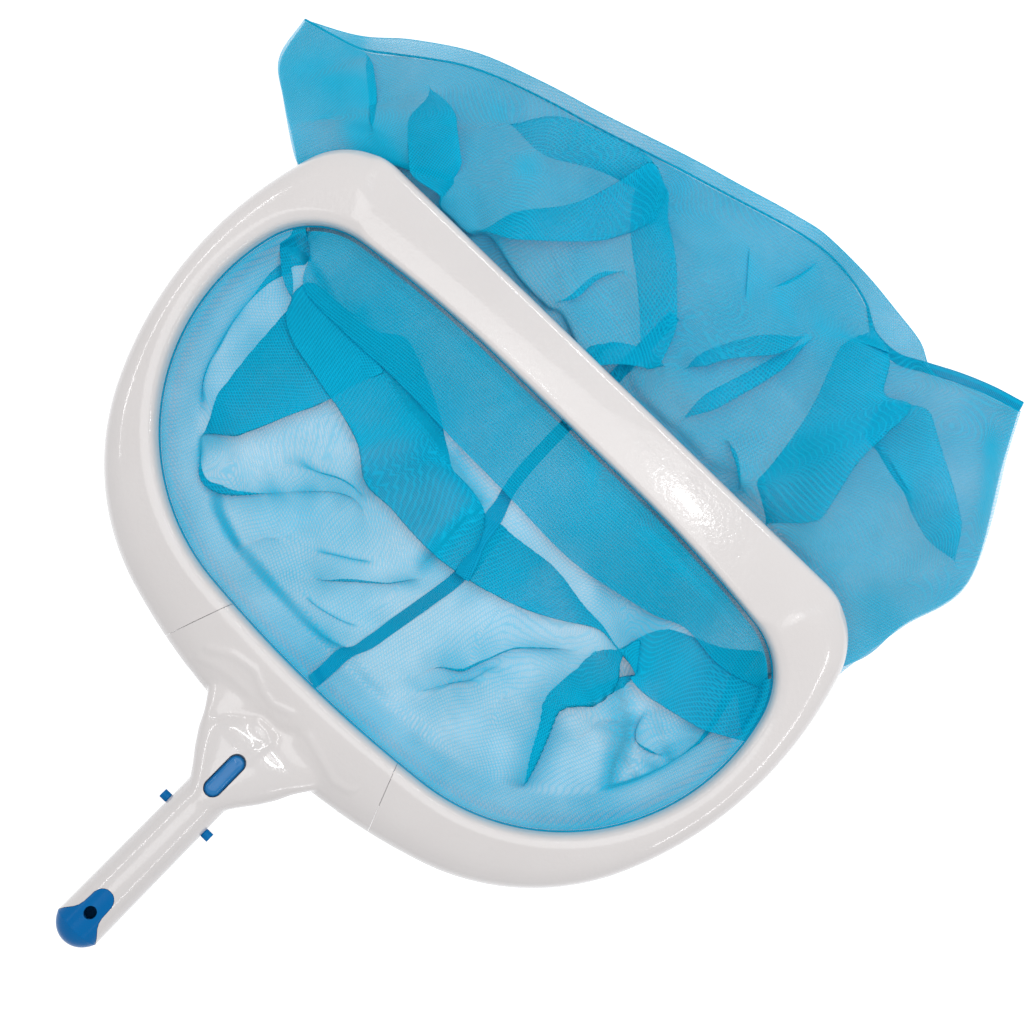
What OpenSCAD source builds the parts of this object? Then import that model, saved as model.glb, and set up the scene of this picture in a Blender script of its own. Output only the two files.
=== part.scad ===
// Leaf skimmer net: a D-shaped scoop hoop, a yoke with a spigot for a pole,
// a twin pin lock with a release button, and a deep net bag.
// The origin is on the spigot's axis, level with the two lock pins.
// +X runs from the handle to the scoop bar, +Z is up, away from the floor.

/* [Hoop] */
// Height of the hoop's arms and rear band
hoop_h = 22; // [20:1:24]
// Height of the hoop at the scoop bar
bar_h = 18.5; // [17:0.5:20]
// Thickness of the moulded walls
wall = 2.5; // [2:0.1:3]
// Gap between the shells where the net comes out
slot_gap = 1.6; // [1.4:0.1:2]
// Height of the hoop's middle below the lock pins
hoop_drop = 23.5; // [22:0.5:25]

/* [Handle] */
// Outside diameter of the spigot, which slides into the pole
spigot_d = 28.5; // [28:0.1:28.8]
// Wall of the spigot
spigot_wall = 2.6; // [2.2:0.1:3]
// Angle at which the handle rises from the hoop
handle_tilt = 20; // [16:1:24]
// Distance from the lock pins to the rim of the end cap
spigot_reach = 79; // [70:1:90]
// Height of the end cap's dome
dome_h = 9.5; // [8:0.5:12]
// Diameter of the hanging hole
hang_hole_d = 7; // [6:0.5:8]

/* [Lock] */
// Diameter of the lock pins
lock_pin_d = 5.5; // [5:0.1:6]
// How far the lock pins stand out of the spigot
lock_pin_out = 4.7; // [4:0.1:5]
// Travel of the release button
button_travel = 3.5; // [3:0.1:3.5]
// Width of the release button
button_w = 12; // [11:0.5:12.5]
// Length of the release button
button_len = 28.6; // [27:0.1:29]

/* [Bag] */
// Thickness of the net
net_t = 0.6; // [0.5:0.1:0.8]
// Height of the puffed bag above the net on the floor
bag_puff = 24; // [15:1:35]
// Width of the seam tapes
tape_w = 10; // [8:1:12]
// Depth to which the front panel sags into the mouth
sag_depth = 45; // [20:1:50]

/* [Hidden] */

white = [0.93, 0.92, 0.9];
blue = [0.04, 0.42, 0.68];
net_blue = [0.2, 0.68, 0.85];
net_dark = [0.02, 0.55, 0.72];
steel = [0.7, 0.71, 0.72];

// ---- the D outline: arcs from the middle of the rear band round to the scoop bar ----
// each arc is [radius, angle turned]; the chain ends with a straight run to the middle
outer_start = 49.3;
outer_arcs = [[402, 17.2], [151, 48.1], [242, 42.7], [46.7, 72]];
inner_start = 98.2;
inner_arcs = [[878, 5.7], [136.4, 99.1], [50, 67.7], [840, 7.5]];

function arc_len(arc) = arc[0] * arc[1] * PI / 180;

// the point and heading [x, y, heading] at distance s along a chain of arcs
function along(arcs, x, y, heading, s, i = 0) =
    i == len(arcs) ? [x + s * sin(heading), y + s * cos(heading), heading]
    : let (r = arcs[i][0], turn = arcs[i][1], l = arc_len(arcs[i]))
      let (a = s <= l ? turn * s / l : turn)
      let (nx = x + r * (cos(heading) - cos(heading + a)))
      let (ny = y + r * (sin(heading + a) - sin(heading)))
      s <= l ? [nx, ny, heading + a] : along(arcs, nx, ny, heading + a, s - l, i + 1);

function outer_at(s) = along(outer_arcs, outer_start, 0, 0, s);
function inner_at(s) = along(inner_arcs, inner_start, 0, 0, s);

// matching distances along the outer and inner outlines: the middle of the rear, the joint with
// the yoke, the rear corner, the side, the three places of the front corner and the bar's middle
outer_keys = [0, 85, 186, 296, 378, 449, 493, 663.5];
inner_keys = [0, 68.5, 160, 250, 320, 360, 382, 546];
bar_key = 6;
middle_key = 7;
joint_key = 1;
joint_gap = 0.003;

// a station is a place on the half hoop from 0 at the rear to 7 at the middle of the bar
function key_lerp(keys, k) =
    let (i = min(floor(k), len(keys) - 2))
    keys[i] + (keys[i + 1] - keys[i]) * (k - i);

// inner point and outward direction across the band, and the band's width
function across(k) =
    let (side = k < 0 ? -1 : 1, o = outer_at(key_lerp(outer_keys, abs(k))))
    let (p = inner_at(key_lerp(inner_keys, abs(k))))
    let (dx = o[0] - p[0], dy = o[1] - p[1], w = norm([dx, dy]))
    [[p[0], side * p[1]], [dx / w, side * dy / w], w];

function mix(a, b, t) = a + (b - a) * t;
function smooth(t) = let (c = min(1, max(0, t))) c * c * (3 - 2 * c);

// 0 on the arms and the rear, 1 on the flat face of the scoop bar
function bar_share(k) = smooth((abs(k) - 5.1) / 0.85);
// 0 where the underside is deep, 1 where it is raised to let the bag pass
function raised_share(k) = smooth((abs(k) - 3.5) / 0.9);

split_z = -2.5;
slot_top = -2 + slot_gap / 2;
slot_bottom = -2 - slot_gap / 2;

// section of the upper shell: a rounded arm that becomes a flat ramp on the scoop bar
function top_section(w, k) =
    let (b = bar_share(k), h = hoop_h / 2, t = wall)
    [
        [w - 0.5, mix(0.1, 0.32, b) * h], [w, split_z],
        [w - t, split_z], [w - t - 0.8, 0], [mix(0.84, 0.86, b) * w - t, mix(0.26, 0.36, b) * h],
        [mix(0.66, 0.66, b) * w, mix(0.58, 0.5, b) * h], [mix(0.44, 0.4, b) * w, mix(0.74, 0.66, b) * h],
        [6.4, 0.76 * h], [3.6, 0.56 * h], [t + 0.2, 2], [t + 0.7, slot_top],
        [0.8, slot_top], [0, 2], [0.4, 0.62 * h], [2.6, 0.9 * h], [6, h],
        [mix(0.45, 0.4, b) * w, mix(0.97, 0.9, b) * h], [mix(0.7, 0.7, b) * w, mix(0.82, 0.74, b) * h],
        [mix(0.88, 0.92, b) * w, mix(0.52, 0.6, b) * h]
    ];

// depth of the underside below the hoop's middle
function under_z(k) = mix(-hoop_h / 2, hoop_h / 2 - bar_h, raised_share(k));

// section of the lower shell
function bottom_section(w, k) =
    let (z = under_z(k), t = wall)
    [
        [w, split_z], [w - 0.6, 0.55 * z], [w - 3.6, 0.88 * z], [w - 8, z],
        [5, z], [2, 0.88 * z], [0.8, slot_bottom],
        [0.8 + t, slot_bottom], [t + 1.6, z + t + 0.6], [6, z + t],
        [w - 8.6, z + t], [w - 5.4, z + t + 0.8], [w - t, split_z]
    ];

// solid swept round the hoop through a list of stations
module swept(stations, closed = false, section) {
    rings = [
        for (k = stations)
            let (a = across(k), w = a[2])
            [for (p = section(w, k)) [
                a[0][0] + a[1][0] * p[0],
                a[0][1] + a[1][1] * p[0],
                p[1] - hoop_drop
            ]]
    ];
    tube_of(rings, closed);
}

// skin over a list of rings with the same number of points
module tube_of(rings, closed = false) {
    n = len(rings);
    m = len(rings[0]);
    last = closed ? n - 1 : n - 2;
    sides = [
        for (i = [0:last], j = [0:m - 1])
            let (a = i * m + j, b = i * m + (j + 1) % m)
            let (c = ((i + 1) % n) * m + (j + 1) % m, d = ((i + 1) % n) * m + j)
            each [[a, b, c], [a, c, d]]
    ];
    ends = closed ? [] : [
        [for (j = [m - 1:-1:0]) j],
        [for (j = [0:m - 1]) (n - 1) * m + j]
    ];
    polyhedron([for (r = rings) each r], concat(sides, ends), convexity = 8);
}

// stations between two places, finer round the corners
function run(from, to, steps) = [for (i = [0:steps]) mix(from, to, i / steps)];
function drop_first(v) = [for (i = [1:len(v) - 1]) v[i]];
function backwards(v) = [for (i = [len(v) - 1:-1:0]) v[i]];
function chain_runs(a, b) = concat(a, drop_first(b));

half_hoop = chain_runs(
    chain_runs(run(joint_key + joint_gap, 2, 5), run(2, 3, 5)),
    chain_runs(chain_runs(run(3, 4, 4), run(4, 6, 12)), run(6, middle_key, 4))
);
// round the hoop from the joint on one side, over the bar, to the joint on the other
hoop_stations = concat(half_hoop, [for (i = [len(half_hoop) - 2:-1:0]) -half_hoop[i]]);
yoke_stations = run(-joint_key + joint_gap, joint_key - joint_gap, 12);
ring_stations = concat(
    run(0, 1, 3), drop_first(half_hoop), [for (i = [len(half_hoop) - 2:-1:1]) -half_hoop[i]], [-1, -0.5]
);

// ---- the handle's own frame: x along the spigot towards the hoop, z off its back ----
module on_handle() {
    rotate([0, handle_tilt, 0]) children();
}

spigot_r = spigot_d / 2;
bore_r = spigot_r - spigot_wall;
bore_end = 50;
pivot_x = 44;
pivot_y = 5;
clip_screw_x = 34;
arm_h = 6;
pin_y = 9;
pivot_r = 1.5;
arm_half = 1.5;
eye_r = 3.2;
base_x = 22;
// how far a pin drifts towards the tip as its arm swings in
pin_swing = 1.9;
button_x = 30.05;
oval_step = (button_len - button_w) / 2;
button_gap = 0.3;
tongue_w = 13;
tongue_x = -60.2;
hang_hole_x = -67.8;
arm_turn = asin(lock_pin_out / pivot_x);

// rod along x
module rod(x0, x1, r, fn = 64) {
    translate([x0, 0, 0]) rotate([0, 90, 0]) cylinder(h = x1 - x0, r = r, $fn = fn);
}

// long oval with round ends, standing on z0
module oval(x, half_step, r, z0, h) {
    translate([x, 0, z0]) linear_extrude(h) union() {
        for (s = [-1, 1]) translate([s * half_step, 0]) circle(r = r, $fn = 48);
        square([2 * half_step, 2 * r], center = true);
    }
}

// ---- the hub that spreads from the spigot into the rear band ----
// each row is [x, half width, top, bottom, squareness]
hub_rows = [
    [6, 13.0, 12, -16.4, 2], [14, 15.8, 10.6, -20.4, 2.05], [22, 20.2, 7.9, -23.7, 2.15],
    [30, 25.6, 5, -26.7, 2.25], [38, 30.6, 1.9, -29.6, 2.35], [46, 35.2, -1.4, -32.4, 2.5],
    [52, 41, -5.4, -34, 2.7], [58, 46, -9.8, -34.4, 2.9], [65, 49, -12.7, -34.4, 3], [72, 50, -14.2, -34.2, 3]
];
hub_sides = 28;

function hub_ring(row) =
    let (zc = (row[2] + row[3]) / 2, h = (row[2] - row[3]) / 2)
    [for (i = [0:hub_sides - 1])
        let (a = -360 * i / hub_sides, c = cos(a), s = sin(a))
        [row[0], row[1] * sign(c) * pow(abs(c), 2 / row[4]), zc + h * sign(s) * pow(abs(s), 2 / row[4])]
    ];

module hub_form() {
    tube_of([for (row = hub_rows) hub_ring(row)]);
}

hub_split_x = 40;
// the pole slides on the spigot's land, which ends in a small step before the pins
land_end = -5.5;
land_step = 0.25;
parting_z = split_z - hoop_drop;

module hub_lower_half() {
    translate([hub_split_x, -60, parting_z - 30]) cube([60, 120, 30]);
}

// places of the screws on the band, clear of the cord and the outer wall
function band_spot(k, share) = let (a = across(k)) a[0] + a[1] * min(share * a[2], a[2] - 7.4);
function screw_spots(keys, share) = [for (k = keys, s = [-1, 1]) concat(band_spot(s * k, share), under_z(k))];
hoop_spots = screw_spots([1.5, 2.3, 3.1, 4.6, 6.2, 6.75], 0.6);
yoke_spots = screw_spots([0.33, 0.62], 0.46);
boss_r = 3.2;
boss_top = 7.6;
screw_r = 1.3;
screw_head_r = 2.7;
screw_head_h = 1.3;
screw_len = 9;

// pillars inside the upper shell that the screws hold by
module bosses(spots) {
    for (p = spots) translate([p[0], p[1], p[2] + wall + 0.8 - hoop_drop]) {
        cylinder(h = boss_top - p[2] - wall - 0.8, r = boss_r, $fn = 32);
    }
}

module boss_holes(spots) {
    for (p = spots) translate([p[0], p[1], p[2] + 1 - hoop_drop]) {
        cylinder(h = screw_len, r = screw_r + 0.05, $fn = 24);
    }
}

// counterbored holes in the lower shell
module cover_holes(spots) {
    for (p = spots) translate([p[0], p[1], p[2] - hoop_drop]) {
        translate([0, 0, -1]) cylinder(h = 5, r = screw_r + 0.2, $fn = 24);
        translate([0, 0, -1]) cylinder(h = 1 + screw_head_h, r = screw_head_r + 0.2, $fn = 24);
    }
}

module hoop_top() {
    color(white) difference() {
        union() {
            swept(hoop_stations, section = function (w, k) top_section(w, k));
            bosses(hoop_spots);
        }
        boss_holes(hoop_spots);
    }
}

module hoop_bottom() {
    color(white) difference() {
        swept(hoop_stations, section = function (w, k) bottom_section(w, k));
        cover_holes(hoop_spots);
    }
}

module yoke() {
    color(white) difference() {
        union() {
            swept(yoke_stations, section = function (w, k) top_section(w, k));
            difference() {
                hub_form();
                hub_lower_half();
            }
            on_handle() rod(-spigot_reach, land_end, spigot_r, 96);
            on_handle() rod(land_end - 1, pivot_x, spigot_r - land_step, 96);
            bosses(yoke_spots);
        }
        boss_holes(yoke_spots);
        on_handle() {
            rod(-spigot_reach - 1, bore_end, bore_r, 96);
            cap_tongue_space();
            oval(button_x, oval_step, button_w / 2 + button_gap, 5, 20);
            for (s = [-1, 1]) pin_window(s);
            translate([clip_screw_x, 0, -spigot_r - 6]) cylinder(h = 10, r = screw_r + 0.2, $fn = 24);
            translate([clip_screw_x, 0, -spigot_r - 8]) {
                cylinder(h = 8 + screw_head_h - 0.2, r = screw_head_r + 0.2, $fn = 24);
            }
        }
    }
}

// opening in the spigot's wall that a lock pin swings through
module pin_window(side) {
    r = lock_pin_d / 2 + 0.3;
    for (x = [-pin_swing, 0]) {
        translate([x, side * (bore_r - 3), 0]) rotate([-90 * side, 0, 0]) cylinder(h = 10, r = r, $fn = 48);
    }
    translate([-pin_swing, side > 0 ? bore_r - 3 : -bore_r - 7, -r]) cube([pin_swing, 10, 2 * r]);
}

// cut in the spigot that the cap's tongue fills
module cap_tongue_space() {
    translate([tongue_x, 0, 0]) cylinder(h = spigot_r + 1, r = tongue_w / 2 + 0.1, $fn = 48);
    translate([-spigot_reach - 1, -tongue_w / 2 - 0.1, 0]) {
        cube([spigot_reach + 1 + tongue_x, tongue_w + 0.2, spigot_r + 1]);
    }
}

// bars inside the band that key the yoke to the hoop's two arms
tenon_z = [-8.2, 2.5];

module joint_tenons() {
    color(white) for (stations = [run(0.8, 1.22, 4), run(-1.22, -0.8, 4)]) {
        swept(stations, section = function (w, k) [
            [12.5, tenon_z[0]], [12.5, tenon_z[1]], [0.6 * w, tenon_z[1]], [0.6 * w, tenon_z[0]]
        ]);
    }
}

module yoke_bottom() {
    color(white) difference() {
        union() {
            swept(yoke_stations, section = function (w, k) bottom_section(w, k));
            intersection() {
                hub_form();
                hub_lower_half();
            }
        }
        on_handle() rod(0, bore_end, bore_r, 96);
        cover_holes(yoke_spots);
    }
}

tongue_dip = 0.35;
sleeve_len = 22;
sleeve_wall = 2.4;

// dome and tongue of the blue cap, with the sleeve that plugs the spigot
module end_cap() {
    dome_r = (pow(spigot_r, 2) + pow(dome_h, 2)) / (2 * dome_h);
    color(blue) on_handle() difference() {
        union() {
            intersection() {
                translate([-spigot_reach - dome_h + dome_r, 0, 0]) sphere(r = dome_r, $fn = 96);
                rod(-spigot_reach - dome_h - 1, -spigot_reach, spigot_r, 96);
            }
            rod(-spigot_reach - 1, -spigot_reach + sleeve_len, bore_r - 0.15, 96);
            intersection() {
                rod(-spigot_reach, tongue_x + tongue_w, spigot_r - tongue_dip, 96);
                union() {
                    translate([tongue_x, 0, bore_r - 4]) cylinder(h = 9, r = tongue_w / 2, $fn = 48);
                    translate([-spigot_reach - 1, -tongue_w / 2, bore_r - 4]) {
                        cube([spigot_reach + 1 + tongue_x, tongue_w, 9]);
                    }
                }
            }
        }
        rod(-spigot_reach, tongue_x + tongue_w, bore_r - sleeve_wall, 64);
        translate([hang_hole_x, 0, 0]) cylinder(h = spigot_r + 1, r = hang_hole_d / 2, $fn = 48);
    }
}

// ---- the twin pin lock inside the handle ----
module clip_base() {
    color(blue) on_handle() difference() {
        intersection() {
            rod(base_x, bore_end - 0.3, bore_r - 0.15, 64);
            union() {
                translate([base_x, -12, -12]) cube([28, 24, 12 - arm_h / 2 - 0.3]);
                translate([pivot_x + 3.8, -12, -12]) cube([5, 24, 15]);
            }
        }
        for (s = [-1, 1]) translate([pivot_x, s * pivot_y, -9]) cylinder(h = 10, r = pivot_r, $fn = 32);
        translate([clip_screw_x, 0, -14]) cylinder(h = 9.5, r = screw_r + 0.05, $fn = 24);
    }
}

module arm_pivots() {
    color(steel) on_handle() for (s = [-1, 1]) {
        translate([pivot_x, s * pivot_y, -9]) cylinder(h = 9 + arm_h / 2 + 0.4, r = pivot_r, $fn = 32);
    }
}

// the pin is a little thinner inside the spigot than where it stands out
pin_neck = 0.2;
tip_start = spigot_r + 0.15;

// one arm of the lock: an eye on the pivot, a bar and the pin at its free end
module lock_arm(side) {
    color(blue) on_handle() difference() {
        union() {
            translate([pivot_x, side * pivot_y, -arm_h / 2]) cylinder(h = arm_h, r = eye_r, $fn = 48);
            translate([0, 0, -arm_h / 2]) linear_extrude(arm_h) polygon([
                [pivot_x, side * (pivot_y + arm_half)], [pivot_x, side * (pivot_y - arm_half)],
                [-4, side * (pin_y - arm_half)], [-4, side * (pin_y + arm_half)]
            ]);
            translate([0, side * (pin_y - 1), 0]) rotate([-90 * side, 0, 0]) {
                cylinder(h = tip_start - pin_y + 1, r = lock_pin_d / 2 - pin_neck, $fn = 48);
            }
            translate([0, side * tip_start, 0]) rotate([-90 * side, 0, 0]) {
                cylinder(h = spigot_r + lock_pin_out - tip_start, r = lock_pin_d / 2, $fn = 48);
            }
        }
        translate([pivot_x, side * pivot_y, -arm_h]) cylinder(h = 2 * arm_h, r = pivot_r + 0.05, $fn = 48);
    }
}

module left_lock_arm() {
    lock_arm(1);
}

module right_lock_arm() {
    lock_arm(-1);
}

button_top = 15.1;
crown_r = 60;
// rest height of the button's flange, clear of the arms by its travel and a little more
flange_z = arm_h / 2 + button_travel + 0.7;
flange_t = 1.3;
flange_out = 1.2;
wedge_x = 32;
wedge_len = 6;

// the button: a crowned oval key on a stem, a retaining flange and two wedges for the arms
module release_button() {
    color(blue) on_handle() {
        intersection() {
            oval(button_x, oval_step, button_w / 2, flange_z, button_top - flange_z);
            translate([button_x, 0, button_top - crown_r]) sphere(r = crown_r, $fn = 96);
        }
        intersection() {
            oval(button_x, oval_step, button_w / 2 + flange_out, flange_z, flange_t);
            rod(0, 60, bore_r - 0.4, 64);
        }
        for (s = [-1, 1]) translate([wedge_x, 0, 0]) rotate([90, 0, -90]) linear_extrude(wedge_len) polygon([
            [s * 8.3, arm_h / 2 + 0.2], [s * 9, arm_h / 2 + 0.2], [s * 9, flange_z],
            [s * 6.5, flange_z], [s * 6.5, 6.5]
        ]);
    }
}

// wire wound round z, one unbroken tube
spring_turns = 6;
spring_r = 2.1;
spring_wire_r = 0.4;
spring_z0 = -arm_h / 2 + 0.1;
spring_z1 = flange_z - 0.05;

module button_spring() {
    rise = spring_z1 - spring_z0 - 2 * spring_wire_r;
    steps = spring_turns * 8;
    rings = [
        for (i = [0:steps])
            let (a = 360 * i / 8, z = spring_z0 + spring_wire_r + rise * i / steps)
            [for (j = [0:5])
                let (b = 60 * j, r = spring_r + spring_wire_r * cos(b))
                [r * cos(a), r * sin(a), z + spring_wire_r * sin(b)]
            ]
    ];
    color(steel) on_handle() translate([button_x, 0, 0]) tube_of(rings);
}
echo("least gap between spring turns",
    (spring_z1 - spring_z0 - 2 * spring_wire_r) / spring_turns - 2 * spring_wire_r);

// ---- screws: a pan head with a cross recess, and its shank ----
module screw(shank) {
    difference() {
        cylinder(h = screw_head_h, r = screw_head_r, $fn = 24);
        for (a = [0, 90]) rotate([0, 0, a]) cube([3, 0.7, 1.4], center = true);
    }
    translate([0, 0, screw_head_h]) cylinder(h = shank, r = screw_r, $fn = 24);
}

module clip_screw() {
    color(steel) on_handle() translate([clip_screw_x, 0, -spigot_r - 0.2]) screw(8.4);
}

module screws(spots) {
    color(steel) for (p = spots) translate([p[0], p[1], p[2] - hoop_drop]) screw(screw_len - screw_head_h);
}

module hoop_screws() {
    screws(hoop_spots);
}

module yoke_screws() {
    screws(yoke_spots);
}

// ---- the net and its edges ----
cord_r = 1.5;
cord_w = 9;

module hem_cord() {
    color(net_dark) swept(ring_stations, closed = true, section = function (w, k) [
        for (i = [0:5]) [cord_w + cord_r * cos(-60 * i), -2 + cord_r * sin(-60 * i)]
    ]);
}

// closed outline at a distance inside (+) or outside (-) the hoop's inner wall
function ring_outline(offset_in) = [
    for (k = ring_stations) let (a = across(k)) a[0] - a[1] * offset_in
];

module mouth_binding() {
    color(net_dark) translate([0, 0, -hoop_drop + split_z]) linear_extrude(1) difference() {
        polygon(ring_outline(-7));
        polygon(ring_outline(2.5));
    }
}

floor_z = -38;
mouth_corner = 4.6;
// outline of the bag past the hoop: its two side edges and the bottom seam
left_edge = [[319, 230], [356, 280], [384, 286]];
right_edge = [[333, -226], [421, -242], [516, -192]];
bottom_edge = [[516, -192], [511, -117], [516, -39], [480, 90], [441, 210], [384, 286]];

// point at share t along a list of points, by even steps
function on_line(points, t) =
    let (n = len(points) - 1, i = min(floor(t * n), n - 1))
    mix(points[i], points[i + 1], t * n - i);

function mouth_point(k, inset) = let (a = across(k)) a[0] - a[1] * inset;
// station on the bar and its corners, from -1 on the right to 1 on the left
function front_station(s) =
    let (a = abs(s), flat = 0.85)
    let (k = a < flat ? middle_key - a / flat : mix(bar_key, mouth_corner, (a - flat) / (1 - flat)))
    s < 0 ? -k : k;
function front_point(s, inset) = mouth_point(front_station(s), inset);

// a sheet of the bag: mouth curve and bottom seam joined by the right and left side edges
function sheet_point(s, t, mouth, right, left) =
    let (b = on_line(bottom_edge, (s + 1) / 2))
    let (bow_l = on_line(left, t) - mix(left[0], left[len(left) - 1], t))
    let (bow_r = on_line(right, t) - mix(right[0], right[len(right) - 1], t))
    mix(mouth, b, t) + bow_l * (s + 1) / 2 + bow_r * (1 - s) / 2;

sheet_cols = 25;
cols = [for (i = [0:sheet_cols]) -1 + 2 * i / sheet_cols];

// direction square to a grid of points at row i and column j
function square_to(rows, i, j) =
    let (n = len(rows), m = len(rows[0]))
    let (along_row = rows[i][min(j + 1, m - 1)] - rows[i][max(j - 1, 0)])
    let (down = rows[min(i + 1, n - 1)][j] - rows[max(i - 1, 0)][j])
    let (c = cross(down, along_row))
    c / norm(c);

// closed thin solid from rows of points, with a skin on each side of them
module net_sheet(rows) {
    n = len(rows);
    m = len(rows[0]);
    half = [for (i = [0:n - 1]) [for (j = [0:m - 1]) square_to(rows, i, j) * net_t / 2]];
    top = [for (i = [0:n - 1]) each rows[i] + half[i]];
    under = [for (i = [0:n - 1]) each rows[i] - half[i]];
    all_count = n * m;
    cells = [
        for (i = [0:n - 2], j = [0:m - 2])
            let (a = i * m + j, b = a + 1, c = a + m + 1, d = a + m)
            each [
                [a, b, c], [a, c, d],
                [all_count + a, all_count + c, all_count + b], [all_count + a, all_count + d, all_count + c]
            ]
    ];
    edge = concat(
        [for (j = [0:m - 1]) j], [for (i = [1:n - 1]) i * m + m - 1],
        [for (j = [m - 2:-1:0]) (n - 1) * m + j], [for (i = [n - 2:-1:1]) i * m]
    );
    rim = [
        for (i = [0:len(edge) - 1])
            let (a = edge[i], b = edge[(i + 1) % len(edge)])
            each [[b, a, all_count + a], [b, all_count + a, all_count + b]]
    ];
    polyhedron(concat(top, under), concat(cells, rim), convexity = 6);
}

net_floor = floor_z + net_t / 2;

module bag_back_panel() {
    // ends a hair short of the front panel at the mouth's corners
    corner = mouth_corner - 0.02;
    wall_rows = [[3, parting_z - 0.5], [4.5, -31], [9, -35.5], [18, net_floor]];
    right = concat([mouth_point(-corner, 18)], right_edge);
    left = concat([mouth_point(corner, 18)], left_edge);
    rows = concat(
        [for (r = wall_rows) [for (s = cols)
            let (p = mouth_point(s * corner, r[0])) [p[0], p[1], r[1]]
        ]],
        [for (i = [1:8]) [for (s = cols)
            let (p = sheet_point(s, i / 8, mouth_point(s * corner, 18), right, left))
            [p[0], p[1], net_floor]
        ]]
    );
    color(net_blue) net_sheet(rows);
}

// the front panel sags less where it meets the mouth's corners
function sag_at(s) = sag_depth * (1 - 0.4 * pow(s, 8));

module bag_front_panel() {
    // share of the sag and height of each row: down into the mouth, folded back under the bar
    fold = [[0.07, parting_z - 0.5], [0.4, -27.8], [0.85, -29.6], [1, -30.8], [0.85, -32],
        [0.3, -32.2], [-0.13, -32.2]];
    out = [for (s = cols) front_point(s, -3 - across(front_station(s))[2])];
    right = [out[0], right_edge[1], right_edge[2]];
    left = [out[sheet_cols], left_edge[1], left_edge[2]];
    rows = concat(
        [for (r = fold) [for (s = cols) let (p = front_point(s, r[0] * sag_at(s))) [p[0], p[1], r[1]]]],
        [for (i = [0:8]) [for (j = [0:sheet_cols])
            let (t = i / 8, s = cols[j], p = sheet_point(s, t, out[j], right, left))
            let (low = mix(-32, floor_z + 1.5 * net_t + 0.1, smooth(max(t, 4 * abs(s) - 3))))
            [p[0], p[1], low + bag_puff * sin(180 * pow(t, 0.8)) * (1 - pow(s, 4))]
        ]]
    );
    color(net_blue) net_sheet(rows);
}

tape_t = 0.5;
band_h = 3;
seam_w = 7;
seam_gap = 0.12;

tape_x = 120;
tape_len = 350;

module centre_seam_tape() {
    color(net_dark) translate([tape_x, -tape_w / 2, floor_z + net_t]) cube([tape_len, tape_w, tape_t]);
}

module bottom_seam_binding() {
    color(net_dark) translate([0, 0, floor_z]) linear_extrude(band_h) {
        near = [for (p = bottom_edge) p + [seam_gap, seam_gap]];
        far = [for (p = backwards(bottom_edge)) p + [seam_w, seam_w / 2]];
        polygon(concat(near, far));
    }
}

hoop_top();
hoop_bottom();
yoke();
yoke_bottom();
end_cap();
clip_base();
arm_pivots();
left_lock_arm();
right_lock_arm();
release_button();
button_spring();
clip_screw();
joint_tenons();
hoop_screws();
yoke_screws();
hem_cord();
mouth_binding();
bag_back_panel();
bag_front_panel();
centre_seam_tape();
bottom_seam_binding();
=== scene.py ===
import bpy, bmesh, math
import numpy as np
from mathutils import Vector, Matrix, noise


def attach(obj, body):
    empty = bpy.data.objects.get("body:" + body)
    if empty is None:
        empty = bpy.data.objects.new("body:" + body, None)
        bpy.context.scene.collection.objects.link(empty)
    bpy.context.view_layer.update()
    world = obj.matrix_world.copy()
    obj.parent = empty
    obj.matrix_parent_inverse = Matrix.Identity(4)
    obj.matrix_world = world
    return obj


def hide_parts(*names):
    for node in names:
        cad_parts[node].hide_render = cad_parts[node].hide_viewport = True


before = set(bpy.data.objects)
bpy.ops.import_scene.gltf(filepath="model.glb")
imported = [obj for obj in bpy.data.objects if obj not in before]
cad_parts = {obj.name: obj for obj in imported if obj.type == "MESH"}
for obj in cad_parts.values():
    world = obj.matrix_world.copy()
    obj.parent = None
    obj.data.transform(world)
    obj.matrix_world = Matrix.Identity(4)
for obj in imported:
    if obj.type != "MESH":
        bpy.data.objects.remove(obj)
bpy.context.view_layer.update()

# %% [markdown]
# # A leaf skimmer net for a pool
#
# The net is a stiff plastic hoop with a soft mesh bag, on a hub that takes a pole.
# The solid model of it is loaded above as a fixed frame: every piece made here lies in that frame,
# in metres, and rides on one of its bodies.
# This lesson builds the skin of the hoop, the sculpted hub, the cap, the lock and the cloth,
# and gives each of them a finish made of shader nodes.

MM = 0.001
TILT = math.radians(20)

# %% [markdown]
# ## Camera and studio
#
# The net lies on a flat pale floor and the camera looks straight down on it, turned so that the
# handle points to the lower left. A short distance gives the mild perspective of a product shot.
# The backdrop is white because of its own colour: only rays from the camera, and rays that are
# reflected or pass through, see the white, so no extra light falls on the net.

# %% Camera
camera = bpy.data.objects.new("camera", bpy.data.cameras.new("camera"))
camera.data.lens = 37.02
camera.data.sensor_width = 36
camera.location = (0.2564, -0.0131, 0.6075)
camera.rotation_euler = (0, 0, math.radians(-45.9))
bpy.context.collection.objects.link(camera)
bpy.context.scene.camera = camera
bpy.context.scene.view_settings.view_transform = "Standard"

# %% Math nodes and the rays that see a backdrop
def math_node(nodes, links, operation, *values):
    """A math node on sockets or plain numbers. It gives back its output."""
    node = nodes.new("ShaderNodeMath")
    node.operation = operation
    for socket, value in zip(node.inputs, values):
        if isinstance(value, (int, float)):
            socket.default_value = value
        else:
            links.new(value, socket)
    return node.outputs[0]

def seeing_rays(nodes, links):
    """1 for rays from the camera and rays that are reflected or pass through, otherwise 0."""
    path = nodes.new("ShaderNodeLightPath")
    seen = math_node(nodes, links, "MAXIMUM", path.outputs["Is Camera Ray"], path.outputs["Is Glossy Ray"])
    return math_node(nodes, links, "MAXIMUM", seen, path.outputs["Is Transmission Ray"])

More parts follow.
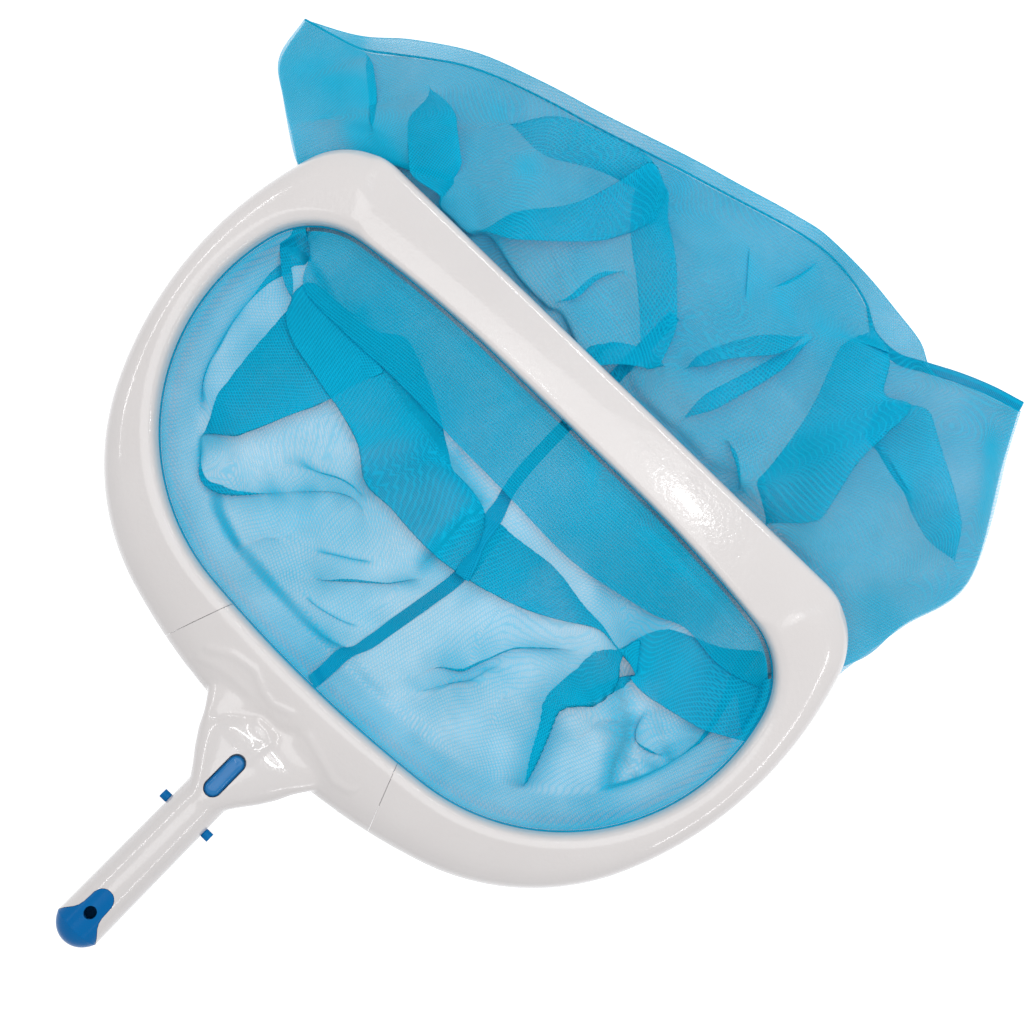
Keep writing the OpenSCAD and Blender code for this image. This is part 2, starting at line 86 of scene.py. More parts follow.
# %% World light with a white backdrop
world = bpy.data.worlds.new("studio")
bpy.context.scene.world = world
world.use_nodes = True
wn, wl = world.node_tree.nodes, world.node_tree.links
wn.clear()
soft = wn.new("ShaderNodeBackground")
soft.inputs["Color"].default_value = (0.93, 0.96, 1, 1)
soft.inputs["Strength"].default_value = 0.59
white_sky = wn.new("ShaderNodeBackground")
white_sky.inputs["Color"].default_value = (1, 1, 1, 1)
pick = wn.new("ShaderNodeMixShader")
wl.new(seeing_rays(wn, wl), pick.inputs[0])
wl.new(soft.outputs[0], pick.inputs[1])
wl.new(white_sky.outputs[0], pick.inputs[2])
wl.new(pick.outputs[0], wn.new("ShaderNodeOutputWorld").inputs["Surface"])

# %% Floor that stays white round the net and keeps its shadow
FLOOR_Z, FLOOR_GAP, FLOOR_HALF = -0.038, 0.0004, 6
bm = bmesh.new()
bmesh.ops.create_grid(bm, x_segments=1, y_segments=1, size=FLOOR_HALF)
bmesh.ops.translate(bm, verts=bm.verts, vec=(0.25, 0, FLOOR_Z - FLOOR_GAP))
floor_mesh = bpy.data.meshes.new("floor")
bm.to_mesh(floor_mesh)
bm.free()
floor = bpy.data.objects.new("floor", floor_mesh)
bpy.context.collection.objects.link(floor)
floor_mat = bpy.data.materials.new("floor")
floor_mat.use_nodes = True
fn, fl = floor_mat.node_tree.nodes, floor_mat.node_tree.links
fn.clear()
paint = fn.new("ShaderNodeBsdfDiffuse")
paint.inputs["Color"].default_value = (0.86, 0.86, 0.86, 1)
lift = fn.new("ShaderNodeEmission")
lift.inputs["Color"].default_value = (0.55, 0.55, 0.55, 1)
fl.new(seeing_rays(fn, fl), lift.inputs["Strength"])
both = fn.new("ShaderNodeAddShader")
fl.new(paint.outputs[0], both.inputs[0])
fl.new(lift.outputs[0], both.inputs[1])
fl.new(both.outputs[0], fn.new("ShaderNodeOutputMaterial").inputs["Surface"])
floor_mesh.materials.append(floor_mat)

# %% Lamps: a soft box above, a glint and a line on the scoop bar, and three strips for long highlights
def area_lamp(name, where, aim, size, watts):
    data = bpy.data.lights.new(name, "AREA")
    data.shape, data.size, data.size_y = "RECTANGLE", size[0], size[1]
    data.energy = watts
    lamp = bpy.data.objects.new(name, data)
    lamp.location = where
    lamp.rotation_euler = (Vector(aim) - Vector(where)).to_track_quat("-Z", "Y").to_euler()
    bpy.context.collection.objects.link(lamp)

area_lamp("soft_box", (0.50, 0.10, 1.30), (0.25, 0, 0), (0.9, 0.7), 2.8)
area_lamp("window_glint", (0.477, -0.131, 0.38), (0.33, -0.08, 0.02), (0.034, 0.034), 0.14)
area_lamp("crest_line", (0.45, 0.085, 0.58), (0.45, 0.085, 0), (0.006, 0.10), 0.05)
area_lamp("strip_back", (0.85, 0.05, 0.62), (0.25, 0, 0), (0.7, 0.03), 0.9)
area_lamp("strip_left", (0.10, 0.66, 0.55), (0.2, 0, 0), (0.7, 0.03), 0.55)
area_lamp("strip_right", (0.30, -0.72, 0.55), (0.25, 0, 0), (0.7, 0.03), 0.6)

# %% [markdown]
# ## The outline of the hoop
#
# The hoop is a rounded D. Its outer and inner outlines are chains of tangent arcs, each given by a
# radius and the angle that it turns, as a pattern maker would lay them out. A station is a place on
# the half hoop: 0 is the middle of the rear, 1 the joint with the yoke, 5 the front corner, 6 the
# start of the scoop bar and 7 its middle. Stations below zero lie on the right side.

# %% Arcs, stations and the line across the band
OUTER = (49.3, [(402, 17.2), (151, 48.1), (242, 42.7), (46.7, 72)])
INNER = (98.2, [(878, 5.7), (136.4, 99.1), (50, 67.7), (840, 7.5)])
OUTER_KEYS = [0, 85, 186, 296, 378, 449, 493, 663.5]
INNER_KEYS = [0, 68.5, 160, 250, 320, 360, 382, 546]

def along(outline, s):
    x, y, head = outline[0], 0.0, 0.0
    for r, turn in outline[1]:
        a = min(s / r, math.radians(turn))
        x, y = x + r * (math.cos(head) - math.cos(head + a)), y + r * (math.sin(head + a) - math.sin(head))
        head += a
        s -= a * r
        if s <= 1e-9:
            return x, y
    return x + s * math.sin(head), y + s * math.cos(head)

def smooth_key(keys, k):
    wide = [-keys[1]] + keys + [2 * keys[-1] - keys[-2]]
    i = min(int(k), len(keys) - 2)
    t = k - i
    d0, d1, d2 = (wide[i + n + 1] - wide[i + n] for n in range(3))
    m0, m1 = 2 * d0 * d1 / (d0 + d1), 2 * d1 * d2 / (d1 + d2)
    h = t * t * (3 - 2 * t)
    return keys[i] * (1 - h) + keys[i + 1] * h + m0 * t * (1 - t) ** 2 - m1 * t * t * (1 - t)

table_k = np.linspace(-7, 7, 2801)
rows = []
for k in table_k:
    side = -1 if k < 0 else 1
    ox, oy = along(OUTER, smooth_key(OUTER_KEYS, abs(k)))
    px, py = along(INNER, smooth_key(INNER_KEYS, abs(k)))
    w = math.hypot(ox - px, oy - py)
    rows.append((px, side * py, (ox - px) / w, side * (oy - py) / w, w))
table = np.array(rows)

def across(k):
    k = np.asarray(k, float)
    return [np.interp(k, table_k, table[:, c]) for c in range(5)]

print("band width at the bar, side and rear:", [round(float(across(k)[4]), 1) for k in (7, 3, 0)])

# %% [markdown]
# ## Skins from sections
#
# A moulding of this kind is one section that changes slowly as it runs round the hoop. Each section
# is a short list of corners in millimetres, and every corner is rounded with a small curve of a
# fixed number of points, so that all sections have the same count. A grid primitive then takes the
# sections as its rows, its long edges are merged, and its two ends are closed.

# %% Section tools
def smooth(t):
    t = np.clip(t, 0, 1)
    return t * t * (3 - 2 * t)

def mix(a, b, t):
    return a + (b - a) * t

def rounded(corners, radii, steps=5):
    out = []
    n = len(corners)
    for i, (p, r) in enumerate(zip(corners, radii)):
        p = Vector(p)
        if r == 0:
            out.append(tuple(p))
            continue
        before, after = Vector(corners[i - 1]) - p, Vector(corners[(i + 1) % n]) - p
        a = p + before * min(r / before.length, 0.48)
        b = p + after * min(r / after.length, 0.48)
        for j in range(steps):
            t = j / (steps - 1)
            out.append(tuple(a * (1 - t) ** 2 + p * 2 * t * (1 - t) + b * t * t))
    return out

def grid_index(v, rows, cols):
    """Row and column of a point of create_grid, which spans -1 to 1 both ways."""
    return round((v.co.y + 1) / 2 * rows), round((v.co.x + 1) / 2 * cols)

def skin(rings):
    n, m = len(rings), len(rings[0])
    bm = bmesh.new()
    bmesh.ops.create_grid(bm, x_segments=m, y_segments=n - 1, size=1)
    for v in bm.verts:
        i, j = grid_index(v, n - 1, m)
        v.co = Vector(rings[i][j % m]) * MM
    bmesh.ops.remove_doubles(bm, verts=bm.verts, dist=1e-7)
    rim = [e for e in bm.edges if e.is_boundary]
    caps = bmesh.ops.holes_fill(bm, edges=rim, sides=0)["faces"]
    bmesh.ops.triangulate(bm, faces=caps)
    bmesh.ops.recalc_face_normals(bm, faces=bm.faces)
    return bm

def add_piece(bm, name, material, sharp=38, body="root", replaces=()):
    for f in bm.faces:
        f.smooth = True
    for e in bm.edges:
        e.smooth = len(e.link_faces) != 2 or e.calc_face_angle(0) < math.radians(sharp)
    mesh = bpy.data.meshes.new(name)
    bm.to_mesh(mesh)
    bm.free()
    piece = bpy.data.objects.new(name, mesh)
    bpy.context.collection.objects.link(piece)
    mesh.materials.append(material)
    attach(piece, body)
    if replaces:
        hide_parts(*replaces)
    print(name, len(mesh.polygons), "faces")
    return piece

# %% [markdown]
# ## Glossy moulded plastic
#
# The hoop and hub are one warm white plastic with a high gloss. Real mouldings are never quite even:
# the colour and the gloss have faint cloudy patches, and the surface has a soft swell with a finer
# ripple on it that breaks up the highlights. Noise at four scales gives these, on object
# coordinates, so that the pattern stays with the piece. The blue parts are almost smooth, and the
# button is glossier than the cap and the pins.

# %% A maker for moulded plastic
def new_material(name):
    mat = bpy.data.materials.new(name)
    mat.use_nodes = True
    nodes, links = mat.node_tree.nodes, mat.node_tree.links
    return mat, nodes, links, nodes["Principled BSDF"]

def noise_node(nodes, links, coords, scale, detail=3, roughness=0.55):
    tex = nodes.new("ShaderNodeTexNoise")
    tex.inputs["Scale"].default_value = scale
    tex.inputs["Detail"].default_value = detail
    tex.inputs["Roughness"].default_value = roughness
    links.new(coords, tex.inputs["Vector"])
    return tex.outputs["Fac"]

def ramp_node(nodes, links, value, stops):
    ramp = nodes.new("ShaderNodeValToRGB")
    while len(ramp.color_ramp.elements) < len(stops):
        ramp.color_ramp.elements.new(0.5)
    for e, (at, colour) in zip(ramp.color_ramp.elements, stops):
        e.position = at
        e.color = (*colour, 1)
    links.new(value, ramp.inputs[0])
    return ramp.outputs[0]

def map_node(nodes, links, value, to, source=(0, 1)):
    node = nodes.new("ShaderNodeMapRange")
    node.inputs["From Min"].default_value, node.inputs["From Max"].default_value = source
    node.inputs["To Min"].default_value, node.inputs["To Max"].default_value = to
    links.new(value, node.inputs["Value"])
    return node.outputs[0]

def bump_node(nodes, links, height, strength, distance):
    bump = nodes.new("ShaderNodeBump")
    bump.inputs["Strength"].default_value = strength
    bump.inputs["Distance"].default_value = distance
    links.new(height, bump.inputs["Height"])
    return bump

def moulded(name, colour, shade, rough=(0.12, 0.2), wave=0.0006, coat=0.8, shine=0.4):
    mat, nodes, links, body = new_material(name)
    place = nodes.new("ShaderNodeTexCoord").outputs["Object"]
    cloud = noise_node(nodes, links, place, 14, 3)
    tint = ramp_node(nodes, links, cloud, [(0.35, shade), (0.65, colour)])
    links.new(tint, body.inputs["Base Color"])
    patch = noise_node(nodes, links, place, 45, 4)
    links.new(map_node(nodes, links, patch, rough), body.inputs["Roughness"])
    soft_bump = bump_node(nodes, links, noise_node(nodes, links, place, 90, 4), 0.35, wave)
    fine_bump = bump_node(nodes, links, noise_node(nodes, links, place, 380, 2), 0.5, wave / 2)
    links.new(soft_bump.outputs[0], fine_bump.inputs["Normal"])
    links.new(fine_bump.outputs[0], body.inputs["Normal"])
    body.inputs["IOR"].default_value = 1.5
    body.inputs["Coat Weight"].default_value = coat
    body.inputs["Coat Roughness"].default_value = 0.035
    body.inputs["Specular IOR Level"].default_value = shine
    return mat

white_plastic = moulded("white_plastic", (0.805, 0.755, 0.73), (0.78, 0.73, 0.705))
button_plastic = moulded("button_plastic", (0.001, 0.21, 0.54), (0.001, 0.18, 0.48), rough=(0.1, 0.16),
                         wave=0.0001, coat=0.35, shine=0.25)
blue_plastic = moulded("blue_plastic", (0.001, 0.18, 0.49), (0.001, 0.15, 0.43), rough=(0.16, 0.24),
                       wave=0.0001, coat=0.0, shine=0.08)

# %% [markdown]
# ## The hoop
#
# The upper shell carries two faint creases along its inner edge, then swells over the arm. On the
# scoop bar the same section becomes a flat ramp with a crisp outer edge. The change happens along a
# slanted line: it comes earlier near the outer edge than near the mouth.

# %% Sections of the upper and lower shell
HOOP_H, WALL, SPLIT_Z, DROP = 22, 2.5, -2.5, 23.5
SLOT_TOP, SLOT_BOTTOM = -1.2, -2.8

def top_corners(w, k):
    h, t = HOOP_H / 2, WALL
    arm = [(0.8, SLOT_TOP), (0, 1), (0.3, 6.6), (2.2, 9.3), (6.8, 10.9), (0.45 * w + 1, 11), (0.70 * w, 9.6),
           (0.90 * w, 5.6), (w - 0.2, 0.3), (w, SPLIT_Z)]
    bar = [(0.8, SLOT_TOP), (0, 1), (0.2, 7.4), (0.9, 9.8), (3.2, 10.9), (0.4 * w, 9.9), (0.7 * w, 8.1),
           (0.93 * w, 6.7), (w - 0.4, 3.5), (w, SPLIT_Z)]
    arm += [(w - t, SPLIT_Z), (w - t - 0.8, 0), (0.84 * w - t, 0.26 * h), (0.66 * w, 0.58 * h),
            (0.44 * w, 0.74 * h), (6.4, 0.72 * h), (4.2, 0.52 * h), (t + 0.2, 2), (t + 0.7, SLOT_TOP)]
    bar += [(w - t, SPLIT_Z), (w - t - 0.8, 0), (0.86 * w - t, 0.36 * h), (0.66 * w, 0.5 * h),
            (0.4 * w, 0.66 * h), (6.4, 0.72 * h), (4.2, 0.52 * h), (t + 0.2, 2), (t + 0.7, SLOT_TOP)]
    out = []
    for a, b in zip(arm, bar):
        change = 6.02 - 0.5 * min(1, a[0] / w)
        share = float(smooth((abs(k) - change + 0.16) / 0.32))
        out.append((mix(a[0], b[0], share), mix(a[1], b[1], share)))
    return out

TOP_RADII = [0.3, 1.2, 1.6, 1.5, 2.2, 8, 8, 3.0, 2.0, 0.4] + [0] * 9

def under_z(k):
    return mix(-HOOP_H / 2, -7.5, float(smooth((abs(k) - 3.5) / 0.9)))

def bottom_corners(w, k):
    z, t = under_z(k), WALL
    return [(w, SPLIT_Z), (w - 0.6, 0.55 * z), (w - 3.6, 0.88 * z), (w - 8, z), (5, z), (2, 0.88 * z),
            (0.8, SLOT_BOTTOM), (0.8 + t, SLOT_BOTTOM), (t + 1.6, z + t + 0.6), (6, z + t),
            (w - 8.6, z + t), (w - 5.4, z + t + 0.8), (w - t, SPLIT_Z)]

BOTTOM_RADII = [0.4, 3, 3, 3, 2, 2, 0.3] + [0] * 6

def band(stations, corners, radii):
    rings = []
    for k in stations:
        x, y, dx, dy, w = (float(c) for c in across(k))
        section = rounded(corners(w, k), radii)
        rings.append([(x + dx * u, y + dy * u, v - DROP) for u, v in section])
    return rings

half = np.concatenate([np.linspace(1.003, 4, 90), np.linspace(4, 6.4, 110)[1:], np.linspace(6.4, 7, 22)[1:]])
hoop_stations = list(half) + list(-half[-2::-1])
add_piece(skin(band(hoop_stations, top_corners, TOP_RADII)), "hoop_upper_shell", white_plastic,
          replaces=["hoop_top"])
add_piece(skin(band(hoop_stations, bottom_corners, BOTTOM_RADII)), "hoop_lower_shell", white_plastic,
          replaces=["hoop_bottom"])

# %% [markdown]
# ## The yoke
#
# The hub grows out of the round spigot and melts into the rear band, as in a clay model. Sweeps and
# lofts of the single forms are laid into each other, a voxel remesh makes one skin of them, and
# smoothing brushes over the places where they meet. The bores and windows are cut afterwards, so
# that their edges stay crisp.

# %% Tools for the handle's own axis and for remeshing
def handle(a, y, c):
    return Vector((a * math.cos(TILT) + c * math.sin(TILT), y, -a * math.sin(TILT) + c * math.cos(TILT)))

HANDLE = Matrix.Rotation(TILT, 4, "Y")

def cylinder(r, depth, sides):
    bm = bmesh.new()
    bmesh.ops.create_cone(bm, cap_ends=True, segments=sides, radius1=r * MM, radius2=r * MM, depth=depth * MM)
    return bm

def rod(a0, a1, r):
    """A cylinder along the handle's axis."""
    bm = cylinder(r, a1 - a0, 96)
    bmesh.ops.rotate(bm, verts=bm.verts, matrix=Matrix.Rotation(math.pi / 2, 3, "Y"))
    bmesh.ops.translate(bm, verts=bm.verts, vec=((a0 + a1) / 2 * MM, 0, 0))
    bmesh.ops.transform(bm, matrix=HANDLE, verts=bm.verts)
    return bm

def stub(a, y, c0, c1, r, lean="c"):
    """A cylinder square to the handle's axis, upright or lying along y."""
    bm = cylinder(r, c1 - c0, 48)
    bmesh.ops.translate(bm, verts=bm.verts, vec=(0, 0, (c0 + c1) / 2 * MM))
    if lean == "y":
        bmesh.ops.rotate(bm, verts=bm.verts, matrix=Matrix.Rotation(-math.pi / 2, 3, "X"))
    bmesh.ops.translate(bm, verts=bm.verts, vec=(a * MM, y * MM, 0))
    bmesh.ops.transform(bm, matrix=HANDLE, verts=bm.verts)
    return bm

def raised(bm, faces, height):
    """Extrude faces straight up, in millimetres."""
    grown = bmesh.ops.extrude_face_region(bm, geom=faces)["geom"]
    upper = [g for g in grown if isinstance(g, bmesh.types.BMVert)]
    bmesh.ops.translate(bm, verts=upper, vec=(0, 0, height * MM))
    bmesh.ops.recalc_face_normals(bm, faces=bm.faces)

def oval(a, half_step, r, c0, c1, bevel=0):
    bm = bmesh.new()
    ring = bmesh.ops.create_circle(bm, cap_ends=True, segments=64, radius=r * MM)["verts"]
    for v in ring:
        v.co.x += math.copysign(half_step * MM, v.co.x) if abs(v.co.x) > 1e-9 else 0
    raised(bm, bm.faces[:], c1 - c0)
    if bevel:
        top = [e for e in bm.edges if all(v.co.z > (c1 - c0) * MM * 0.99 for v in e.verts)]
        bmesh.ops.bevel(bm, geom=top, offset=bevel * MM, segments=5, profile=0.5, affect="EDGES", material=-1)
    bmesh.ops.translate(bm, verts=bm.verts, vec=(a * MM, 0, c0 * MM))
    bmesh.ops.transform(bm, matrix=HANDLE, verts=bm.verts)
    return bm

def as_object(bm, name):
    mesh = bpy.data.meshes.new(name)
    bm.to_mesh(mesh); bm.free()
    o = bpy.data.objects.new(name, mesh)
    bpy.context.collection.objects.link(o)
    return o

def joined(parts):
    whole = bmesh.new()
    for part in parts:
        mesh = bpy.data.meshes.new("part")
        part.to_mesh(mesh); part.free()
        whole.from_mesh(mesh)
        bpy.data.meshes.remove(mesh)
    return whole

def applied(o):
    graph = bpy.context.evaluated_depsgraph_get()
    done = bmesh.new()
    done.from_mesh(bpy.data.meshes.new_from_object(o.evaluated_get(graph)))
    bpy.data.objects.remove(o)
    return done

def remeshed(bm, voxel):
    o = as_object(bm, "clay")
    mod = o.modifiers.new("voxels", "REMESH")
    mod.mode, mod.voxel_size, mod.use_smooth_shade = "VOXEL", voxel * MM, True
    return applied(o)

def carved(bm, forms, operation="DIFFERENCE"):
    o = as_object(bm, "carved")
    tools = [as_object(form, "cutter") for form in forms]
    for tool in tools:
        mod = o.modifiers.new("cut", "BOOLEAN")
        mod.operation, mod.solver, mod.object = operation, "MANIFOLD", tool
    done = applied(o)
    for tool in tools:
        bpy.data.objects.remove(tool)
    return done

def cut_off(bm, point, normal):
    bmesh.ops.bisect_plane(bm, geom=bm.verts[:] + bm.edges[:] + bm.faces[:], dist=1e-7,
                           plane_co=point, plane_no=normal, clear_outer=True)

def close_holes(bm):
    bmesh.ops.holes_fill(bm, edges=[e for e in bm.edges if e.is_boundary], sides=0)

def brushed(bm, verts, passes):
    for _ in range(passes):
        bmesh.ops.smooth_vert(bm, verts=verts, factor=0.5, use_axis_x=True, use_axis_y=True, use_axis_z=True)

# %% The hub's loft
HUB = np.array([  # x, half width, top, underside (millimetres) and how square the section is
    [0, 12.2, 12.6, -14.4, 2], [6, 11.6, 11.9, -16.4, 2], [12, 12.0, 11.0, -19.4, 2],
    [16, 14.0, 10.1, -21.3, 2], [22, 18.8, 8.3, -23.7, 2], [30, 26.0, 5.6, -26.7, 2.05],
    [38, 32.0, 2.4, -29.6, 2.1], [46, 36.4, -1.2, -32.4, 2.3], [52, 41, -5.4, -34, 2.7],
    [58, 46, -9.8, -34.4, 2.9], [65, 49, -12.7, -34.4, 3], [72, 50, -14.2, -34.2, 3]])
hub_rings = []
HUB_SIDES = 72
for x in np.linspace(0, 72, 60):
    _, wide, top, low, square = (float(np.interp(x, HUB[:, 0], HUB[:, c])) for c in range(5))
    mid, tall = (top + low) / 2, (top - low) / 2
    ring = []
    for i in range(HUB_SIDES):
        a = -math.tau * i / HUB_SIDES
        c, s = math.cos(a), math.sin(a)
        ring.append((x, wide * math.copysign(abs(c) ** (2 / square), c),
                     mid + tall * math.copysign(abs(s) ** (2 / square), s)))
    hub_rings.append(ring)

def closed_corners(w, k):
    return top_corners(w, k)[:10] + bottom_corners(w, k)[1:7]

CLOSED_RADII = [0.3, 1.2, 2.2, 2.4, 4, 8, 8, 3, 2, 0.4] + BOTTOM_RADII[1:7]

# %% One skin from band, hub and spigot
SPIGOT_R, REACH, BORE_R = 14.25, 79, 11.65
clay = joined([skin(band(np.linspace(-1.06, 1.06, 90), closed_corners, CLOSED_RADII)),
               skin(hub_rings), rod(-REACH - 2, 44, SPIGOT_R)])
clay = remeshed(clay, 1.0)
on_hub = [v for v in clay.verts
          if v.co.x > -0.004 and abs(v.co.y) < 0.062 and not (v.co.x > 0.086 and abs(v.co.y) > 0.05)]
brushed(clay, on_hub, 11)
CRESTS = [  # line, height and half width in millimetres
    ([(74, 60), (82, 46), (84, 31), (81, 24), (78, 17), (77, 9), (81, -3)], 0.8, 2.4),
    ([(65, 61), (70, 49), (72, 37), (72, 24)], 0.5, 2.4),
    ([(78, -19), (74, -33), (69, -48), (71, -57), (75, -62)], 0.8, 2.4),
    ([(46, -2), (61, -5), (64, 0), (64, 9)], 1.1, 2.8),
    ([(50, 29), (61, 18), (67, 7), (67, -2), (73, -12)], -1.3, 4.0)]
UPPER_SIDE = -0.019  # only what lies above this height, in metres, gets creases

def distance_to(line, x, y):
    near = 99
    for (x0, y0), (x1, y1) in zip(line, line[1:]):
        to = Vector((x - x0, y - y0))
        step = Vector((x1 - x0, y1 - y0))
        f = min(1, max(0, to.dot(step) / step.length_squared))
        near = min(near, (to - f * step).length)
    return near

for v in on_hub:
    if v.co.z > UPPER_SIDE:
        rise = 1.6 * math.exp(-((v.co.x / MM - 56) / 9) ** 2 - (v.co.y / MM / 15) ** 2)
        for line, height, width in CRESTS:
            rise += height * math.exp(-(distance_to(line, v.co.x / MM, v.co.y / MM) / width) ** 2)
        v.co.z += rise * MM
brushed(clay, on_hub, 2)
PART_LINE = 0.9994  # station of the two part lines, a hair inside the joint at 1
for side in (1, -1):
    x, y, dx, dy, w = (float(c) for c in across(side * PART_LINE))
    cut_off(clay, (x * MM, y * MM, 0), -Vector((-dy, dx, 0)) * side)
cut_off(clay, handle(-REACH, 0, 0) * MM, HANDLE.to_3x3() @ Vector((-1, 0, 0)))
close_holes(clay)
bmesh.ops.recalc_face_normals(clay, faces=clay.faces)
print("yoke skin:", len(clay.verts), "points")

# %% Bore, windows, slot for the tongue and the button's hole
PIN_HOLE_R, SCREW_HOLE_R, SCREW_HOLE_DEPTH, BUTTON_A = 3.05, 2.9, 3.3, 30.05
TONGUE = [(-53.7, 0), (-53.9, 1.8), (-54.6, 3.4), (-55.8, 4.8), (-57.4, 5.8), (-59.4, 6.4), (-62, 6.5),
          (-66, 6.7), (-69, 7.4), (-71.5, 8.8), (-73.5, 10.4), (-75.5, 12.0), (-77.5, 13.2), (-79.2, 14.0),
          (-81, 14.4), (-86, 14.4)]

def tongue_prism(gap):
    """The flared outline of the cap's tongue, widened by a gap and raised from the handle's axis."""
    half = [(a + (gap if y < 3 else gap * 0.6), y + gap if y else 0) for a, y in TONGUE]
    bm = bmesh.new()
    ring = [bm.verts.new((a * MM, y * MM, 0)) for a, y in half + [(a, -y) for a, y in half[:0:-1]]]
    raised(bm, [bm.faces.new(ring)], 20)
    bmesh.ops.transform(bm, matrix=HANDLE, verts=bm.verts)
    return bm

pin_cuts = [stub(a, 0, lo, lo + 14, PIN_HOLE_R, lean="y") for lo in (8, -22) for a in (-1.9, -0.95, 0)]
yoke_screw_cuts = []
for k in (0.33, 0.62, -0.33, -0.62):
    x, y, dx, dy, w = (float(c) for c in across(k))
    u = min(0.46 * w, w - 7.4)
    hole = cylinder(SCREW_HOLE_R, SCREW_HOLE_DEPTH, 32)
    centre = Vector((x + dx * u, y + dy * u, under_z(k) - DROP - 0.35)) * MM
    bmesh.ops.translate(hole, verts=hole.verts, vec=centre)
    yoke_screw_cuts.append(hole)
clay = carved(clay, [rod(-REACH - 6, 50, BORE_R), tongue_prism(0.18), *pin_cuts,
                     oval(BUTTON_A, 8.9, 5.6, 4, 30), stub(34, 0, -32, -SPIGOT_R + 1.1, SCREW_HOLE_R),
                     *yoke_screw_cuts])
add_piece(clay, "yoke_skin", white_plastic, sharp=45, replaces=["yoke", "yoke_bottom"])

# %% [markdown]
# ## Cap, pins and button
#
# The blue parts are small turned and moulded forms. The cap is a profile spun round the handle's
# axis, with a tongue cut from a tube; the button is an oval with a rounded rim.

# %% End cap: a spun dome and its tongue
def spun(profile):
    bm = bmesh.new()
    verts = [bm.verts.new((a * MM, 0, r * MM)) for a, r in profile]
    edges = [bm.edges.new(pair) for pair in zip(verts, verts[1:])]
    bmesh.ops.spin(bm, geom=verts + edges, cent=(0, 0, 0), axis=(1, 0, 0), angle=math.tau, steps=128,
                   use_merge=True)
    bmesh.ops.remove_doubles(bm, verts=bm.verts, dist=1e-6)
    bmesh.ops.recalc_face_normals(bm, faces=bm.faces)
    bmesh.ops.transform(bm, matrix=HANDLE, verts=bm.verts)
    return bm

DOME_H = 9.5
dome_r = (SPIGOT_R ** 2 + DOME_H ** 2) / (2 * DOME_H)
dome = []
top_angle = math.asin((SPIGOT_R - 0.5) / dome_r)
for i in range(25):
    a = top_angle * i / 24
    dome.append((-REACH - DOME_H + dome_r * (1 - math.cos(a)), dome_r * math.sin(a)))
dome += [(-REACH - 0.45, SPIGOT_R - 0.12), (-REACH - 0.1, SPIGOT_R)]
dome += [(-REACH + 0.05, SPIGOT_R - 0.05), (-REACH + 0.05, BORE_R - 0.15), (-REACH + 22, BORE_R - 0.15),
         (-REACH + 22, BORE_R - 2.4), (-REACH - 2, BORE_R - 2.4), (-REACH - 2.2, 0)]
cap = spun(dome)
tube = spun([(-REACH, 8.8), (-REACH, SPIGOT_R - 0.05), (-50, SPIGOT_R - 0.05), (-50, 8.8), (-REACH, 8.8)])

tongue = carved(tube, [tongue_prism(0)], "INTERSECT")
HANG_HOLE = (-67.8, 0, 0, 20, 3.5)
tongue = carved(tongue, [stub(*HANG_HOLE)])
cap = carved(cap, [stub(*HANG_HOLE)])
add_piece(joined([cap, tongue]), "cap_dome_and_tongue", blue_plastic,
          replaces=["end_cap"])

# %% Button: a long oval with a rounded rim on the moulding that slides in the hub
def copied(node):
    bm = bmesh.new()
    bm.from_mesh(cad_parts[node].data)
    bmesh.ops.remove_doubles(bm, verts=bm.verts, dist=1e-6)
    bmesh.ops.dissolve_limit(bm, angle_limit=math.radians(1), verts=bm.verts, edges=bm.edges)
    return bm

up = HANDLE.to_3x3() @ Vector((0, 0, 1))
slider = copied("release_button")
cut_off(slider, handle(BUTTON_A, 0, 8.2) * MM, up)
close_holes(slider)
top = oval(29.75, 8.8, 5.25, 7.6, 15.0, bevel=3.6)
crown = [v for v in top.verts if (v.co - handle(BUTTON_A, 0, 14.4) * MM).dot(up) > 0]
for v in crown:
    a = (v.co.x * math.cos(TILT) - v.co.z * math.sin(TILT)) / MM - BUTTON_A
    v.co -= up * MM * float(0.9 * smooth((a - 5) / 8.5) + 0.5 * smooth((-a - 5) / 8.5))
add_piece(joined([slider, top]), "button_and_slide", button_plastic, sharp=50,
          body="button", replaces=["release_button"])

# %% Lock arms with softened edges
for node, body in (("left_lock_arm", "left_arm"), ("right_lock_arm", "right_arm")):
    arm = copied(node)
    sharp = [e for e in arm.edges if len(e.link_faces) == 2 and e.calc_face_angle(0) > math.radians(50)]
    bmesh.ops.bevel(arm, geom=sharp, offset=0.35 * MM, segments=3, profile=0.5, affect="EDGES",
                    material=-1, clamp_overlap=True)
    add_piece(arm, node + "_moulding", blue_plastic, body=body, replaces=[node])

# %% [markdown]
# ## Steel for screws, spring and pivots
#
# The small metal parts are zinc plated steel: a cool grey with a fine grain from tumbling, and a
# slightly uneven gloss.

# %% Finishes of the parts that stay as they are
def plated(name):
    mat, nodes, links, body = new_material(name)
    place = nodes.new("ShaderNodeTexCoord").outputs["Object"]
    grain = noise_node(nodes, links, place, 900, 3)
    tint = ramp_node(nodes, links, grain, [(0.3, (0.46, 0.47, 0.49)), (0.7, (0.60, 0.61, 0.62))])
    links.new(tint, body.inputs["Base Color"])
    links.new(map_node(nodes, links, grain, (0.25, 0.42)), body.inputs["Roughness"])
    links.new(bump_node(nodes, links, grain, 0.15, 0.00005).outputs[0], body.inputs["Normal"])
    body.inputs["Metallic"].default_value = 1.0
    return mat

